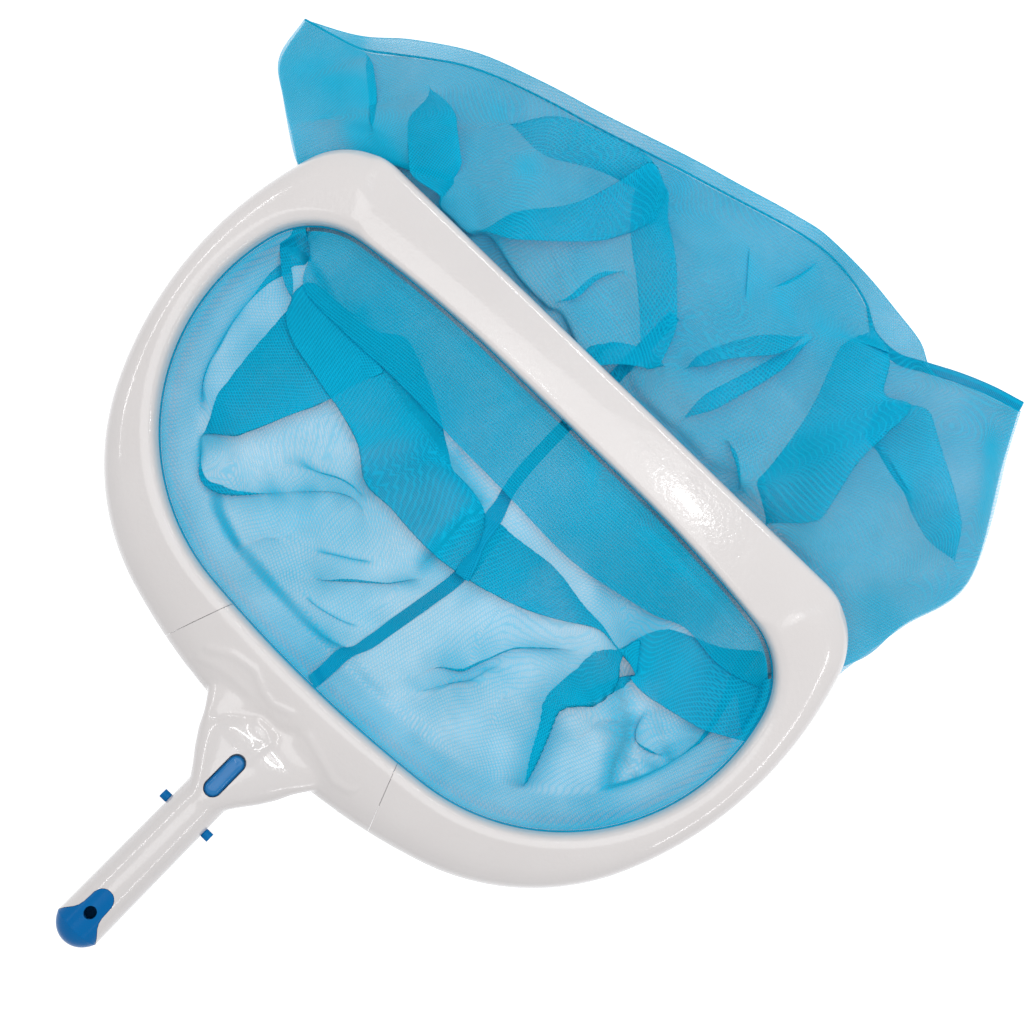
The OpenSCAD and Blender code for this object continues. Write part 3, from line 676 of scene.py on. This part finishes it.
steel = plated("steel")
FINISHES = {"clip_base": blue_plastic, "arm_pivots": steel, "button_spring": steel, "clip_screw": steel,
            "joint_tenons": white_plastic, "hoop_screws": steel, "yoke_screws": steel}
for node, finish in FINISHES.items():
    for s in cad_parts[node].material_slots:
        s.material = finish
print("kept CAD parts: clip base, pivots, spring, screws, tenons")

# %% [markdown]
# ## The cloth: how it is laid out
#
# The bag is two panels of polyester mesh, sewn together along the bottom and the sides. The back
# panel starts from the rear of the hoop and lies on the ground. The front panel starts from the
# scoop bar, sags into the mouth, is folded back under the bar and puffs up behind it.
# Each panel is one fine grid, laid out between the mouth and the seam. Pleats and creases are then
# pressed into it along drawn lines. A simulation would drape it too, but each fold would land in a
# place of its own, and here the folds are part of the look.

# %% Lines on the cloth
def spline(points, n):
    p = np.array(points, float)
    wide = np.vstack([2 * p[0] - p[1], p, 2 * p[-1] - p[-2]])
    out = []
    for i in range(1, len(wide) - 2):
        a, b, c, d = wide[i - 1:i + 3]
        for t in np.linspace(0, 1, 24, endpoint=False):
            out.append(0.5 * (2 * b + (c - a) * t + (2 * a - 5 * b + 4 * c - d) * t ** 2
                              + (3 * b - a - 3 * c + d) * t ** 3))
    out.append(p[-1])
    out = np.array(out)
    run = np.concatenate([[0], np.cumsum(np.linalg.norm(np.diff(out, axis=0), axis=1))])
    even = np.linspace(0, run[-1], n)
    return np.stack([np.interp(even, run, out[:, c]) for c in range(out.shape[1])], 1)

def on(line, t):
    steps = np.linspace(0, 1, len(line))
    return np.stack([np.interp(t, steps, line[:, c]) for c in range(line.shape[1])], -1)

def from_mouth(k, inset):
    x, y, dx, dy, w = across(k)
    return np.stack([x - dx * inset, y - dy * inset], -1)

MOUTH_CORNER = 4.6
LEFT_EDGE = [(319, 231), (340, 262), (356, 281), (384, 287)]
RIGHT_EDGE = [(333, -226), (372, -233), (421, -243), (489, -207), (516, -193)]
SEAM = spline([(516, -193), (507, -164), (493, -135), (484, -115), (486, -98), (497, -82), (503, -58),
               (503, -33), (498, -11), (492, 10), (486, 30), (480, 51), (474, 71), (461, 112), (449, 154),
               (434, 193), (413, 225), (395, 250), (384, 287)], 200)
RIM = spline([(516, -193), (507, -166), (496, -139), (505, -119), (509, -91), (512, -61), (512, -32),
              (507, -11), (501, 11), (495, 32), (489, 53), (483, 74), (470, 116), (458, 158), (443, 198),
              (421, 231), (402, 254), (384, 287)], 200)

def bowed(s, t, mouth, seam, left, right):
    """A grid between the mouth and the seam, whose sides follow two given lines."""
    bow_l = on(left, t) - mix(left[0], left[-1], t[:, None])
    bow_r = on(right, t) - mix(right[0], right[-1], t[:, None])
    s, t = s[:, None], t[:, None]
    return mix(mouth, seam, t) + bow_l * (s + 1) / 2 + bow_r * (1 - s) / 2

# %% [markdown]
# ## Pleats
#
# A pleat is a Z in the cloth: it runs on, doubles back and runs on again. Along a drawn line every
# point is moved across the line by a wave. A small wave only crowds the threads, as in a crease. A
# large one folds the cloth over itself. The unfolded length is added to the UV map, so that the
# threads keep roughly their spacing round the fold. It isn't exact: the UV map is no true flat cut.

# %% The pleat operator
K_STEP, U_STEP, K_STEPS, U_STEPS = 0.1, 0.02, 50, 300
fold_k = np.linspace(0, K_STEP * K_STEPS, K_STEPS + 1)
fold_u = np.linspace(0, U_STEP * U_STEPS, U_STEPS + 1)
slope = (1 - fold_u ** 2) * np.exp(0.5 - fold_u ** 2 / 2)
extra = np.abs(1 - fold_k[:, None] * slope[None, :]) - 1
extra = np.cumsum((extra[:, 1:] + extra[:, :-1]) / 2, axis=1)
extra = np.concatenate([np.zeros((K_STEPS + 1, 1)), extra], 1) * fold_u[1]

def unfolded(k, u):
    """Cloth length between the middle of a fold of strength k and u, beyond the flat length."""
    i = np.clip(k / K_STEP, 0, K_STEPS - 0.001)
    j = np.clip(np.abs(u) / U_STEP, 0, U_STEPS - 0.001)
    i0, j0 = i.astype(int), j.astype(int)
    fi, fj = i - i0, j - j0
    value = (extra[i0, j0] * (1 - fi) * (1 - fj) + extra[i0 + 1, j0] * fi * (1 - fj)
             + extra[i0, j0 + 1] * (1 - fi) * fj + extra[i0 + 1, j0 + 1] * fi * fj)
    return np.sign(u) * value

def pleat(place, threads, line, width, fold, height, ends=(0.25, 0.25), wide_end=None, hold=None):
    """Press a pleat of that half width and fold along line into the cloth (all in millimetres)."""
    path = spline(line, 60)
    seg = np.diff(path, axis=0)
    seg_len = np.linalg.norm(seg, axis=1)
    head = seg / seg_len[:, None]
    reach = 6 * max(width, wide_end or 0) + 2 * fold
    lo, hi = path.min(0) - reach, path.max(0) + reach
    near = np.where(((place[:, :2] > lo) & (place[:, :2] < hi)).all(1))[0]
    if not len(near):
        return
    p = place[near, :2]
    best = np.full(len(near), 1e9)
    tau, sigma, side = np.zeros(len(near)), np.zeros(len(near)), np.zeros((len(near), 2))
    for i in range(len(seg)):
        d = p - path[i]
        f = np.clip((d @ head[i]) / seg_len[i], 0, 1)
        off = d - f[:, None] * seg[i]
        dist = np.linalg.norm(off, axis=1)
        closer = dist < best
        best[closer] = dist[closer]
        n = np.array([-head[i][1], head[i][0]])
        tau[closer] = (np.sign(off @ n) * dist)[closer]
        sigma[closer] = ((i + f) / len(seg))[closer]
        side[closer] = n
    swell = smooth(sigma / max(ends[0], 1e-3)) * smooth((1 - sigma) / max(ends[1], 1e-3))
    w = width if wide_end is None else mix(width, wide_end, sigma)
    u = tau / w
    k = fold / width * swell
    free = 1 if hold is None else hold[near]
    move = -k * w * u * np.exp(0.5 - u ** 2 / 2) * free
    place[near, :2] += side * move[:, None]
    rise = 0.5 * (1 + np.tanh(2.2 * u)) * np.exp(-np.clip(u - 1.1, 0, None) ** 2 / 2.4)
    flat_rise = np.exp(-u ** 2 / 1.2)
    over = smooth((k - 0.5) / 0.7)
    place[near, 2] += height * swell * mix(flat_rise, rise, over) * free
    fade = np.exp(-(np.abs(tau) / (2.6 * w * (1 + k))) ** 2)
    threads[near] += side * (unfolded(k, u) * w * fade * free)[:, None]

def pleated(place, threads, pleats, hold=None):
    for line, width, fold, height, ends, far in pleats:
        pleat(place, threads, line, width, fold, height, ends, far, hold)

# %% How closely the threads crowd together, seen from above
def evened(grid, passes):
    """Move each inner value of a grid towards its four neighbours, in place."""
    for _ in range(passes):
        grid[1:-1, 1:-1] = (grid[1:-1, 1:-1] * 2 + grid[:-2, 1:-1] + grid[2:, 1:-1]
                            + grid[1:-1, :-2] + grid[1:-1, 2:]) / 6

def spread(grid):
    a, b = np.gradient(grid, axis=0), np.gradient(grid, axis=1)
    return np.abs(a[..., 0] * b[..., 1] - a[..., 1] * b[..., 0])

def crowding(place, threads, rows, cols):
    spot, cloth_uv = place.reshape(rows, cols, 3), threads.reshape(rows, cols, 2)
    crowd = np.clip(spread(cloth_uv) / np.maximum(spread(spot[..., :2]), 1e-4), 0.75, 3.4)
    evened(crowd, 7)
    return crowd.reshape(-1)

# %% A grid with its thread coordinates
# Extra opacity at the hem and how far it fades into the cloth in mm. It is partly the cloth crowding into the
# hem and partly a painted shade under the lip.
HEM_CROWD_AND_SHADE, HEM_CROWD_AND_SHADE_REACH = 0.6, 6  # extra crowding at the hem, and how far it fades into the cloth in mm

def cloth(name, place, threads, rows, cols, material, replaces):
    evened(place.reshape(rows, cols, 3), 3)
    bm = bmesh.new()
    bmesh.ops.create_grid(bm, x_segments=cols - 1, y_segments=rows - 1, size=1)
    order = np.empty(rows * cols, int)
    for v in bm.verts:
        i, j = grid_index(v, rows - 1, cols - 1)
        order[v.index] = i * cols + j
        v.co = Vector(place[i * cols + j]) * MM
    layer = bm.loops.layers.uv.new("threads")
    for f in bm.faces:
        f.smooth = True
        for loop in f.loops:
            loop[layer].uv = threads[order[loop.vert.index]] * MM
    if sum(f.normal.z for f in bm.faces) < 0:
        bmesh.ops.reverse_faces(bm, faces=bm.faces)
    mesh = bpy.data.meshes.new(name)
    bm.to_mesh(mesh)
    bm.free()
    bunching_and_hem_shade = mesh.attributes.new("bunching_and_hem_shade", "FLOAT", "POINT")
    crowd = crowding(place, threads, rows, cols)
    run = np.linalg.norm(np.diff(place.reshape(rows, cols, 3), axis=0), axis=2).mean(1)
    from_hem = np.concatenate([[0], np.cumsum(run)])
    # Near the hem the crowding is raised further, partly for denser cloth and partly as a painted shade under
    # the lip.
    crowd *= np.repeat(1 + HEM_CROWD_AND_SHADE * np.exp(-from_hem / HEM_CROWD_AND_SHADE_REACH), cols)
    bunching_and_hem_shade.data.foreach_set("value", crowd[order])
    piece = bpy.data.objects.new(name, mesh)
    bpy.context.collection.objects.link(piece)
    mesh.materials.append(material)
    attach(piece, "root")
    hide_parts(*replaces)
    area = sum(p.area for p in mesh.polygons)
    print(name, rows * cols, "points,", round(area, 4), "m2")
    return piece, area

def waves(place, amount, scale, seed):
    for p in place:
        p[2] += amount * noise.noise(Vector((p[0] / scale, p[1] / scale, seed)))

# %% [markdown]
# ## The mesh fabric
#
# The cloth is a plain open mesh of fine threads that repeat every 1 to 2 millimetres. The threads run on the
# UV map, in metres. In the gaps between them the cloth is more see-through, so that every further layer makes
# it darker, as on the real net. Crowded threads, on steep or gathered cloth, close it up further. Next to the
# hem the cloth is closed up further still: partly the cloth crowding into the hem, partly a painted shade
# under the lip.

# %% Net material
def thread_family(nodes, links, along, step, share):
    """1 on the threads of one direction and 0 between them, with a soft edge."""
    count = math_node(nodes, links, "MULTIPLY", along, 1 / (step * MM))
    centred = math_node(nodes, links, "SUBTRACT", math_node(nodes, links, "FRACT", count), 0.5)
    off_thread = math_node(nodes, links, "ABSOLUTE", centred)
    return map_node(nodes, links, off_thread, (1, 0), (share / 2 - 0.10, share / 2 + 0.10))

def net_material(name, thread, gap_and_shade, angle=20, pitch=(1.35, 2.1), cover=(0.40, 0.32),
                 solid_share=(0.67, 0.87), bunched=True):
    mat, nodes, links, body = new_material(name)
    uv = nodes.new("ShaderNodeUVMap")
    uv.uv_map = "threads"
    turn = nodes.new("ShaderNodeMapping")
    turn.inputs["Rotation"].default_value = (0, 0, math.radians(angle))
    links.new(uv.outputs[0], turn.inputs["Vector"])
    split = nodes.new("ShaderNodeSeparateXYZ")
    links.new(turn.outputs[0], split.inputs[0])
    warp, weft = (thread_family(nodes, links, split.outputs[n], pitch[n], cover[n]) for n in (0, 1))
    on_thread = math_node(nodes, links, "MAXIMUM", warp, weft)
    place = nodes.new("ShaderNodeTexCoord").outputs["Object"]
    cloud = noise_node(nodes, links, place, 22, 3)
    # The threads take the lighter colour and the gaps between them a darker one, partly the gaps' own colour
    # and partly a painted shade. The soft edge of each thread blends the two, so the threads look lit in the
    # middle and shaded at their edges.
    yarn = ramp_node(nodes, links, cloud, [(0.3, tuple(0.9 * c for c in thread)), (0.7, thread)])
    gap_and_shade_tint = ramp_node(nodes, links, cloud, [(0.3, tuple(0.85 * c for c in gap_and_shade)), (0.7, gap_and_shade)])
    tint = nodes.new("ShaderNodeMix")
    tint.data_type = "RGBA"
    links.new(on_thread, tint.inputs[0])
    links.new(gap_and_shade_tint, tint.inputs[6])  # 6, 7 and output 2 are the colour sockets
    links.new(yarn, tint.inputs[7])
    links.new(tint.outputs[2], body.inputs["Base Color"])
    body.inputs["Roughness"].default_value = 0.5
    body.inputs["Specular IOR Level"].default_value = 0.06
    high = math_node(nodes, links, "ADD", warp, weft)
    links.new(bump_node(nodes, links, high, 0.5, 0.0002).outputs[0], body.inputs["Normal"])
    density = map_node(nodes, links, noise_node(nodes, links, place, 14, 3), (0.80, 1.05), (0.3, 0.7))
    opaque = math_node(nodes, links, "MULTIPLY", map_node(nodes, links, on_thread, solid_share), density)
    opaque.node.use_clamp = True
    if bunched:
        # This attribute holds the crowding of the threads and, next to the hem, a painted shade under the
        # lip.
        crowd = nodes.new("ShaderNodeAttribute")
        crowd.attribute_name = "bunching_and_hem_shade"
        gap = math_node(nodes, links, "SUBTRACT", 1, opaque)
        gap = math_node(nodes, links, "POWER", gap, crowd.outputs["Fac"])
        opaque = math_node(nodes, links, "SUBTRACT", 1, gap)
    links.new(opaque, body.inputs["Alpha"])
    return mat

net = net_material("net", (0.0, 0.56, 0.86), (0.0, 0.43, 0.70))
front_net = net_material("front_net", (0.0, 0.58, 0.87), (0.0, 0.46, 0.74), angle=1, pitch=(1.8, 1.3),
                         solid_share=(0.46, 0.70))
trim = net_material("net_trim", (0.001, 0.46, 0.75), (0.0, 0.30, 0.56), angle=0, pitch=(1.1, 1.1),
                    cover=(0.5, 0.5), solid_share=(0.84, 0.98), bunched=False)

# %% Back panel
COLS, GROUND_ROWS = 300, 300
GROUND_Z, LOWEST_Z = -37.4, -37.7
s_row = np.linspace(1, -1, COLS)
BAG_WALL = [(0.4, -25.3), (3, -25.6), (4.2, -28), (6, -32.5), (10, -36.2), (18, GROUND_Z)]  # inset, height

def level(xy, z):
    """One row of cloth at a height, or at a height for each column."""
    return np.column_stack([xy, np.full(COLS, z)])

wall = spline(BAG_WALL, 16)
BACK_ROWS = len(wall) + GROUND_ROWS
t_rows = np.linspace(0, 1, GROUND_ROWS + 1)[1:]
rear_stations = s_row * (MOUTH_CORNER - 0.02)
back = [level(from_mouth(rear_stations, inset), z) for inset, z in wall]
start = from_mouth(rear_stations, 18)
edges = spline([start[0], *LEFT_EDGE], 80), spline([start[-1], *RIGHT_EDGE], 80)
seam = on(SEAM, (s_row + 1) / 2)
back += [level(bowed(s_row, np.full(COLS, t), start, seam, *edges), GROUND_Z) for t in t_rows]
back = np.concatenate(back)
back_threads = back[:, :2].copy()

PLEATS_BACK = [
    # line, half width, fold, height, ends, width at the far end
    ([(268, 146), (257, 104), (247, 76), (233, 48), (226, 10), (227, -18), (231, -40), (235, -58), (240, -86),
      (249, -112), (258, -132)], 14.5, 46, 6, (0.12, 0.3), 5),
    ([(143, 158), (158, 156), (186, 152), (214, 148), (240, 143), (276, 137)], 3.2, 9.6, 5, (0.3, 0.05), 19),
    ([(150, 150), (154, 149), (182, 135), (212, 122), (244, 104)], 3, 4.4, 3, (0.3, 0.3), None),
    ([(233, 51), (245, 44), (250, 26), (244, -3), (224, -14), (205, -10)], 3.4, 3.2, 3, (0.3, 0.3), None),
    ([(112, -148), (129, -141), (170, -122), (194, -112), (216, -114), (246, -124), (256, -130)], 3.0, 6.6, 6,
     (0.35, 0.1), 8),
    ([(232, -112), (246, -126), (256, -150), (266, -178), (286, -208)], 9, 27, 7, (0.3, 0.1), 14),
    ([(246, -138), (228, -134), (206, -126), (186, -124)], 5, 10, 4, (0.3, 0.4), 8),
    ([(112, -20), (128, -28), (146, -37), (167, -47), (185, -60), (201, -75), (225, -101), (246, -123)],
     3, 3.8, 3.5, (0.4, 0.2), None),
    ([(126, 66), (140, 52), (151, 36), (164, 18), (183, 3), (204, -11)], 3, 3.6, 3, (0.45, 0.3), None),
    ([(150, 118), (157, 106), (176, 83), (191, 59), (190, 32)], 4, 3.6, 3, (0.4, 0.4), None),
    ([(154, 156), (146, 146), (141, 134), (144, 121), (157, 106), (180, 84)], 5, 10, 4, (0.3, 0.6), 3.4),
    ([(224, -148), (220, -155), (212, -170), (213, -189)], 3, 4.8, 4, (0.3, 0.3), None),
    ([(170, -106), (190, -104), (208, -103)], 3, 2.6, 2, (0.4, 0.4), None),
    ([(170, -136), (190, -139), (203, -141), (216, -149)], 3.4, 3.2, 3, (0.4, 0.3), None),
    ([(236, -180), (235, -190), (231, -212)], 3.4, 3.2, 3, (0.3, 0.3), None),
    ([(131, 60), (134, 36), (140, 14), (151, -9)], 9, 6.0, 2.5, (0.4, 0.4), None),
    ([(112, 60), (117, 30), (126, 4), (143, -17)], 9, 5.6, 2.5, (0.4, 0.4), None),
    ([(150, -50), (173, -64), (196, -80)], 8, 5.2, 2.5, (0.4, 0.4), None),
    ([(120, -50), (150, -63), (176, -76)], 8, 5.2, 2.5, (0.4, 0.4), None),
    ([(180, 112), (191, 90), (200, 69), (196, 40)], 9, 7.0, 3, (0.4, 0.4), None),
    ([(146, 66), (160, 50), (170, 34), (184, 16)], 9, 6.0, 3, (0.4, 0.4), None),
    ([(118, -34), (140, -50), (160, -62), (182, -80)], 8, 6.0, 3, (0.4, 0.4), None),
    ([(104, 96), (124, 92), (140, 84), (160, 66)], 9, 6.0, 3, (0.4, 0.4), None),
    ([(150, -100), (168, -88), (186, -92)], 7, 5.0, 3, (0.4, 0.4), None),
    ([(196, -176), (214, -160), (236, -150)], 7, 6.0, 3, (0.4, 0.4), None),
    ([(168, 168), (182, 182), (204, 196)], 5, 4.4, 2, (0.4, 0.4), None),
    ([(281, 204), (268, 190), (258, 176), (250, 163)], 4, 6.4, 4, (0.1, 0.5), None),
]
row_share = np.concatenate([np.zeros(len(wall)), t_rows])
back_hold = np.repeat(smooth(row_share / 0.025) * smooth((1 - row_share) / 0.1), COLS) * np.tile(
    smooth((1.0 - np.abs(s_row)) / 0.05), BACK_ROWS)
BACK_WAVES = (1.2, 34, 3.1)  # height, length in millimetres and seed
pleated(back, back_threads, PLEATS_BACK, back_hold)
waves(back[len(wall) * COLS:], *BACK_WAVES)
back[:, 2] = np.maximum(back[:, 2], LOWEST_Z)
back_panel, back_area = cloth("bag_back_cloth", back, back_threads, BACK_ROWS, COLS, net,
                              ["bag_back_panel"])

# %% Front panel
FLAP_EDGE = spline([(291, 196), (284, 184), (266, 172), (264, 138), (265, 95), (264, 60), (263, 41), (262, 0),
                    (260, -44), (261, -68), (264, -85), (271, -117), (279, -138), (277, -165), (280, -182),
                    (287, -201)], 200)
FLAP_ROWS, UNDER_ROWS, BAR_ROWS, OUT_ROWS, TURN_ROWS = 42, 35, 13, 190, 17
LIP_Z, FLAP_Z, BAR_Z, RIM_Z, TURN_Z = -25.6, -31.0, -33.2, -34.5, -36.6
PUFF = 20

def front_station(s):
    a = np.abs(s)
    k = np.where(a < 0.85, 7 - a / 0.85, mix(6, MOUTH_CORNER, (a - 0.85) / 0.15))
    return np.where(s < 0, -k, k)

k_row = front_station(s_row)
lip = from_mouth(k_row, 2.5)
fold_line = on(FLAP_EDGE, (1 - s_row) / 2)
under = from_mouth(k_row, 0)
outer_line = from_mouth(k_row, -3 - across(k_row)[4])
front = []
for f in np.linspace(0, 1, FLAP_ROWS):
    front.append(level(mix(lip, fold_line, math.sin(f * math.pi / 2) ** 1.2), mix(LIP_Z, FLAP_Z, smooth(f))))
for f in np.linspace(0, 1, UNDER_ROWS + 1)[1:]:
    xy = mix(fold_line, under, 1 - math.cos(f * math.pi / 2))
    front.append(level(xy, mix(FLAP_Z, BAR_Z, smooth(f * 3))))
for f in np.linspace(0, 1, BAR_ROWS + 1)[1:]:
    front.append(level(mix(under, outer_line, f), BAR_Z))
edges = spline([outer_line[0], *LEFT_EDGE], 80), spline([outer_line[-1], *RIGHT_EDGE], 80)
rim = on(RIM, (s_row + 1) / 2)
for t in np.linspace(0, 1, OUT_ROWS + 1)[1:]:
    xy = bowed(s_row, np.full(COLS, t), outer_line, rim, *edges)
    puff = PUFF * math.sin(math.pi * t ** 0.75) ** 0.8 * (1 - np.abs(s_row) ** 5)
    front.append(level(xy, mix(BAR_Z, RIM_Z, float(smooth(t))) + puff))
for f in np.linspace(0, 1, TURN_ROWS + 1)[1:]:
    xy = mix(rim, seam, 1 - math.cos(f * math.pi / 2))
    front.append(level(xy, mix(RIM_Z, TURN_Z, math.sin(f * math.pi / 2))))
FRONT_ROWS = len(front)
grid = np.array(front)
run = np.cumsum(np.linalg.norm(np.diff(grid, axis=0), axis=2), axis=0)
run = np.concatenate([np.zeros((1, COLS)), run])
front_threads = np.stack([run.reshape(-1), grid[:, :, 1].reshape(-1)], 1)
front = grid.reshape(-1, 3)
PLEATS_FRONT = [
    ([(366, -26), (378, -16), (408, 15), (440, 52), (452, 82)], 9, 17, 9, (0.3, 0.3), 14),
    ([(378, -24), (405, -33), (431, -47), (474, -70)], 6, 8.4, 7, (0.2, 0.5), 10),
    ([(383, -22), (374, -2), (363, 13), (345, 30)], 5, 9, 6, (0.2, 0.3), 10),
    ([(350, 130), (380, 100), (403, 77), (431, 57), (460, 48)], 8, 15, 8, (0.3, 0.2), 13),
    ([(460, 40), (449, 86), (436, 118), (410, 168)], 12, 19, 9, (0.25, 0.4), 18),
    ([(356, 142), (372, 162), (386, 178), (400, 192), (410, 208)], 11, 27, 9, (0.3, 0.4), 9),
    ([(350, -44), (381, -51), (420, -63), (448, -68), (476, -72)], 9, 14, 9, (0.3, 0.4), 8),
    ([(460, -72), (473, -89), (487, -108)], 5, 6.4, 4, (0.4, 0.3), None),
    ([(348, -130), (376, -126), (401, -121), (431, -113), (459, -102), (496, -88)],
     14, 36, 11, (0.2, 0.2), 8),
    ([(416, -240), (420, -228), (432, -195), (445, -160), (462, -118)], 5, 12, 5, (0.3, 0.2), 15),
    ([(378, -72), (371, -88), (358, -106)], 5, 6.6, 4, (0.3, 0.3), None),
    ([(478, 2), (462, -10), (430, -34)], 4, 4.0, 3, (0.3, 0.4), None),
    ([(503, -42), (476, -38), (448, -27)], 5, 5.4, 4, (0.3, 0.4), None),
    ([(358, 60), (372, 50), (392, 46), (412, 30)], 8, 9, 5, (0.3, 0.4), None),
    ([(352, 200), (372, 214), (390, 236), (398, 252)], 6, 8, 4, (0.3, 0.3), None),
    ([(440, -130), (430, -160), (424, -190)], 5, 4.5, 3, (0.4, 0.4), None),
]
HIDDEN_ROWS = FLAP_ROWS + UNDER_ROWS + BAR_ROWS
out_share = np.concatenate([np.zeros(HIDDEN_ROWS), np.linspace(0, 1, OUT_ROWS), np.ones(TURN_ROWS)])
front_hold = np.repeat(smooth((1 - out_share) / 0.2), COLS) * np.tile(
    smooth((1.0 - np.abs(s_row)) / 0.08), FRONT_ROWS)
pleated(front, front_threads, PLEATS_FRONT, front_hold)
waves(front[HIDDEN_ROWS * COLS:], 3.0, 45, 7.7)
front_panel, front_area = cloth("bag_front_cloth", front, front_threads, FRONT_ROWS, COLS, front_net,
                                ["bag_front_panel"])

# %% [markdown]
# ## Hem, tape and seam
#
# Three strips are sewn to the mesh: the doubled hem that holds the cord, a felled tape down the
# middle, and the turned band along the bottom. Each is a narrow grid that follows the cloth and then
# gets its thickness. The tape goes through the same pleats as the cloth under it.

# %% A strip with thickness and its own thread coordinates
def run_along(line):
    """Length along a line up to each of its points."""
    return np.concatenate([[0], np.cumsum(np.linalg.norm(np.diff(line, axis=0), axis=1))])

def strip(name, grid, thick, material, replaces):
    rows, cols = grid.shape[:2]
    bm = bmesh.new()
    bmesh.ops.create_grid(bm, x_segments=cols - 1, y_segments=rows - 1, size=1)
    run, width = run_along(grid[:, cols // 2]), run_along(grid[rows // 2])
    order = {}
    for v in bm.verts:
        i, j = grid_index(v, rows - 1, cols - 1)
        order[v.index] = (run[i] * MM, width[j] * MM)
        v.co = Vector(grid[i, j]) * MM
    layer = bm.loops.layers.uv.new("threads")
    for f in bm.faces:
        for loop in f.loops:
            loop[layer].uv = order[loop.vert.index]
    bmesh.ops.recalc_face_normals(bm, faces=bm.faces)
    bmesh.ops.solidify(bm, geom=bm.faces[:], thickness=thick * MM)
    bmesh.ops.recalc_face_normals(bm, faces=bm.faces)
    return add_piece(bm, name, material, sharp=60, replaces=replaces)

# %% Hem round the mouth
HEM_SECTION = ((-6.5, -25.3), (-4, -25.2), (-2, -25.15), (-0.6, -25.2), (0.2, -25.5))  # inset, height
hem = np.array([[[*from_mouth(k, u), z] for u, z in HEM_SECTION] for k in np.linspace(-7, 7, 561)])
hem_piece = strip("mouth_hem", hem, 0.7, trim, ["mouth_binding"])

# %% Braided cord in the hem
CORD_R, CORD_OUT, CORD_Z = 1.38, 9, -25.3
BRAID_DEPTH, BRAID_TWIST = 0.1, 0.55
turns = np.linspace(0, 2 * np.pi, 13)[:-1]
cord_rings = []
for n, k in enumerate(np.linspace(-7, 7, 701)):
    x, y, dx, dy, w = (float(c) for c in across(k))
    ring = []
    for a in turns:
        r = CORD_R + BRAID_DEPTH * math.cos(3 * (a + BRAID_TWIST * n))
        out = CORD_OUT + r * math.cos(a)
        ring.append((x + dx * out, y + dy * out, CORD_Z + r * math.sin(a)))
    cord_rings.append(ring)
braid = moulded("braided_cord", (0.86, 0.86, 0.84), (0.7, 0.7, 0.69), rough=(0.6, 0.8), wave=0.0003,
                coat=0.0, shine=0.2)
add_piece(skin(cord_rings), "braided_hem_cord", braid, sharp=60, replaces=["hem_cord"])

# %% Centre tape
TAPE_STEPS, TAPE_HALF, TAPE_THICK, REAR_X = 420, 4.1, 0.35, 98.2
TAPE_ACROSS = (-1, -0.7, -0.35, 0, 0.35, 0.7, 1)
tape_mid = spline([(98.7, 2), (128, -4), (155, -9), (182, -14), (208, -18), (234, -16), (263, -3), (300, 0),
                   (360, -1), (412, -1)], TAPE_STEPS)
tape_side = np.gradient(tape_mid, axis=0)[:, ::-1] * (-1, 1)
tape_side /= np.linalg.norm(tape_side, axis=1, keepdims=True)
tape_z = np.interp(tape_mid[:, 0] - REAR_X, *zip(*BAG_WALL)) + 0.3
tape = np.array([[(*(mid + side * TAPE_HALF * e), z) for e in TAPE_ACROSS]
                 for mid, side, z in zip(tape_mid, tape_side, tape_z)]).reshape(-1, 3)
pleated(tape, tape[:, :2].copy(), PLEATS_BACK)
waves(tape, *BACK_WAVES)
tape = tape.reshape(TAPE_STEPS, len(TAPE_ACROSS), 3)
lift = np.cross(np.gradient(tape, axis=0), np.gradient(tape, axis=1))
lift /= np.maximum(np.linalg.norm(lift, axis=2, keepdims=True), 1e-9)
tape = tape + lift * 0.5
tape_piece = strip("middle_seam_tape", tape, TAPE_THICK, trim, ["centre_seam_tape"])

# %% Bottom seam band
BAND_STEPS, BAND_Z = 300, -36.9
BAND_SECTION = ((0, 0.3), (1.2, 1.1), (4, 1.3), (6.2, 1.0), (7.0, 0.0))  # outward, height over BAND_Z
seam_run = spline([(*p, BAND_Z) for p in SEAM[::8]] + [(384, 287, BAND_Z)], BAND_STEPS)
heading = np.gradient(seam_run[:, :2], axis=0)
heading /= np.linalg.norm(heading, axis=1, keepdims=True)
out_dir = np.stack([heading[:, 1], -heading[:, 0]], 1)
wide = 0.2 + 0.8 * (1 - smooth((np.linspace(0, 1, BAND_STEPS) - 0.15) / 0.1))
band_grid = np.array([[[p[0] + d[0] * u * q, p[1] + d[1] * u * q, p[2] + z] for u, z in BAND_SECTION]
                      for p, d, q in zip(seam_run, out_dir, wide)])
seam_piece = strip("bottom_seam_band", band_grid, 0.7, trim, ["bottom_seam_binding"])
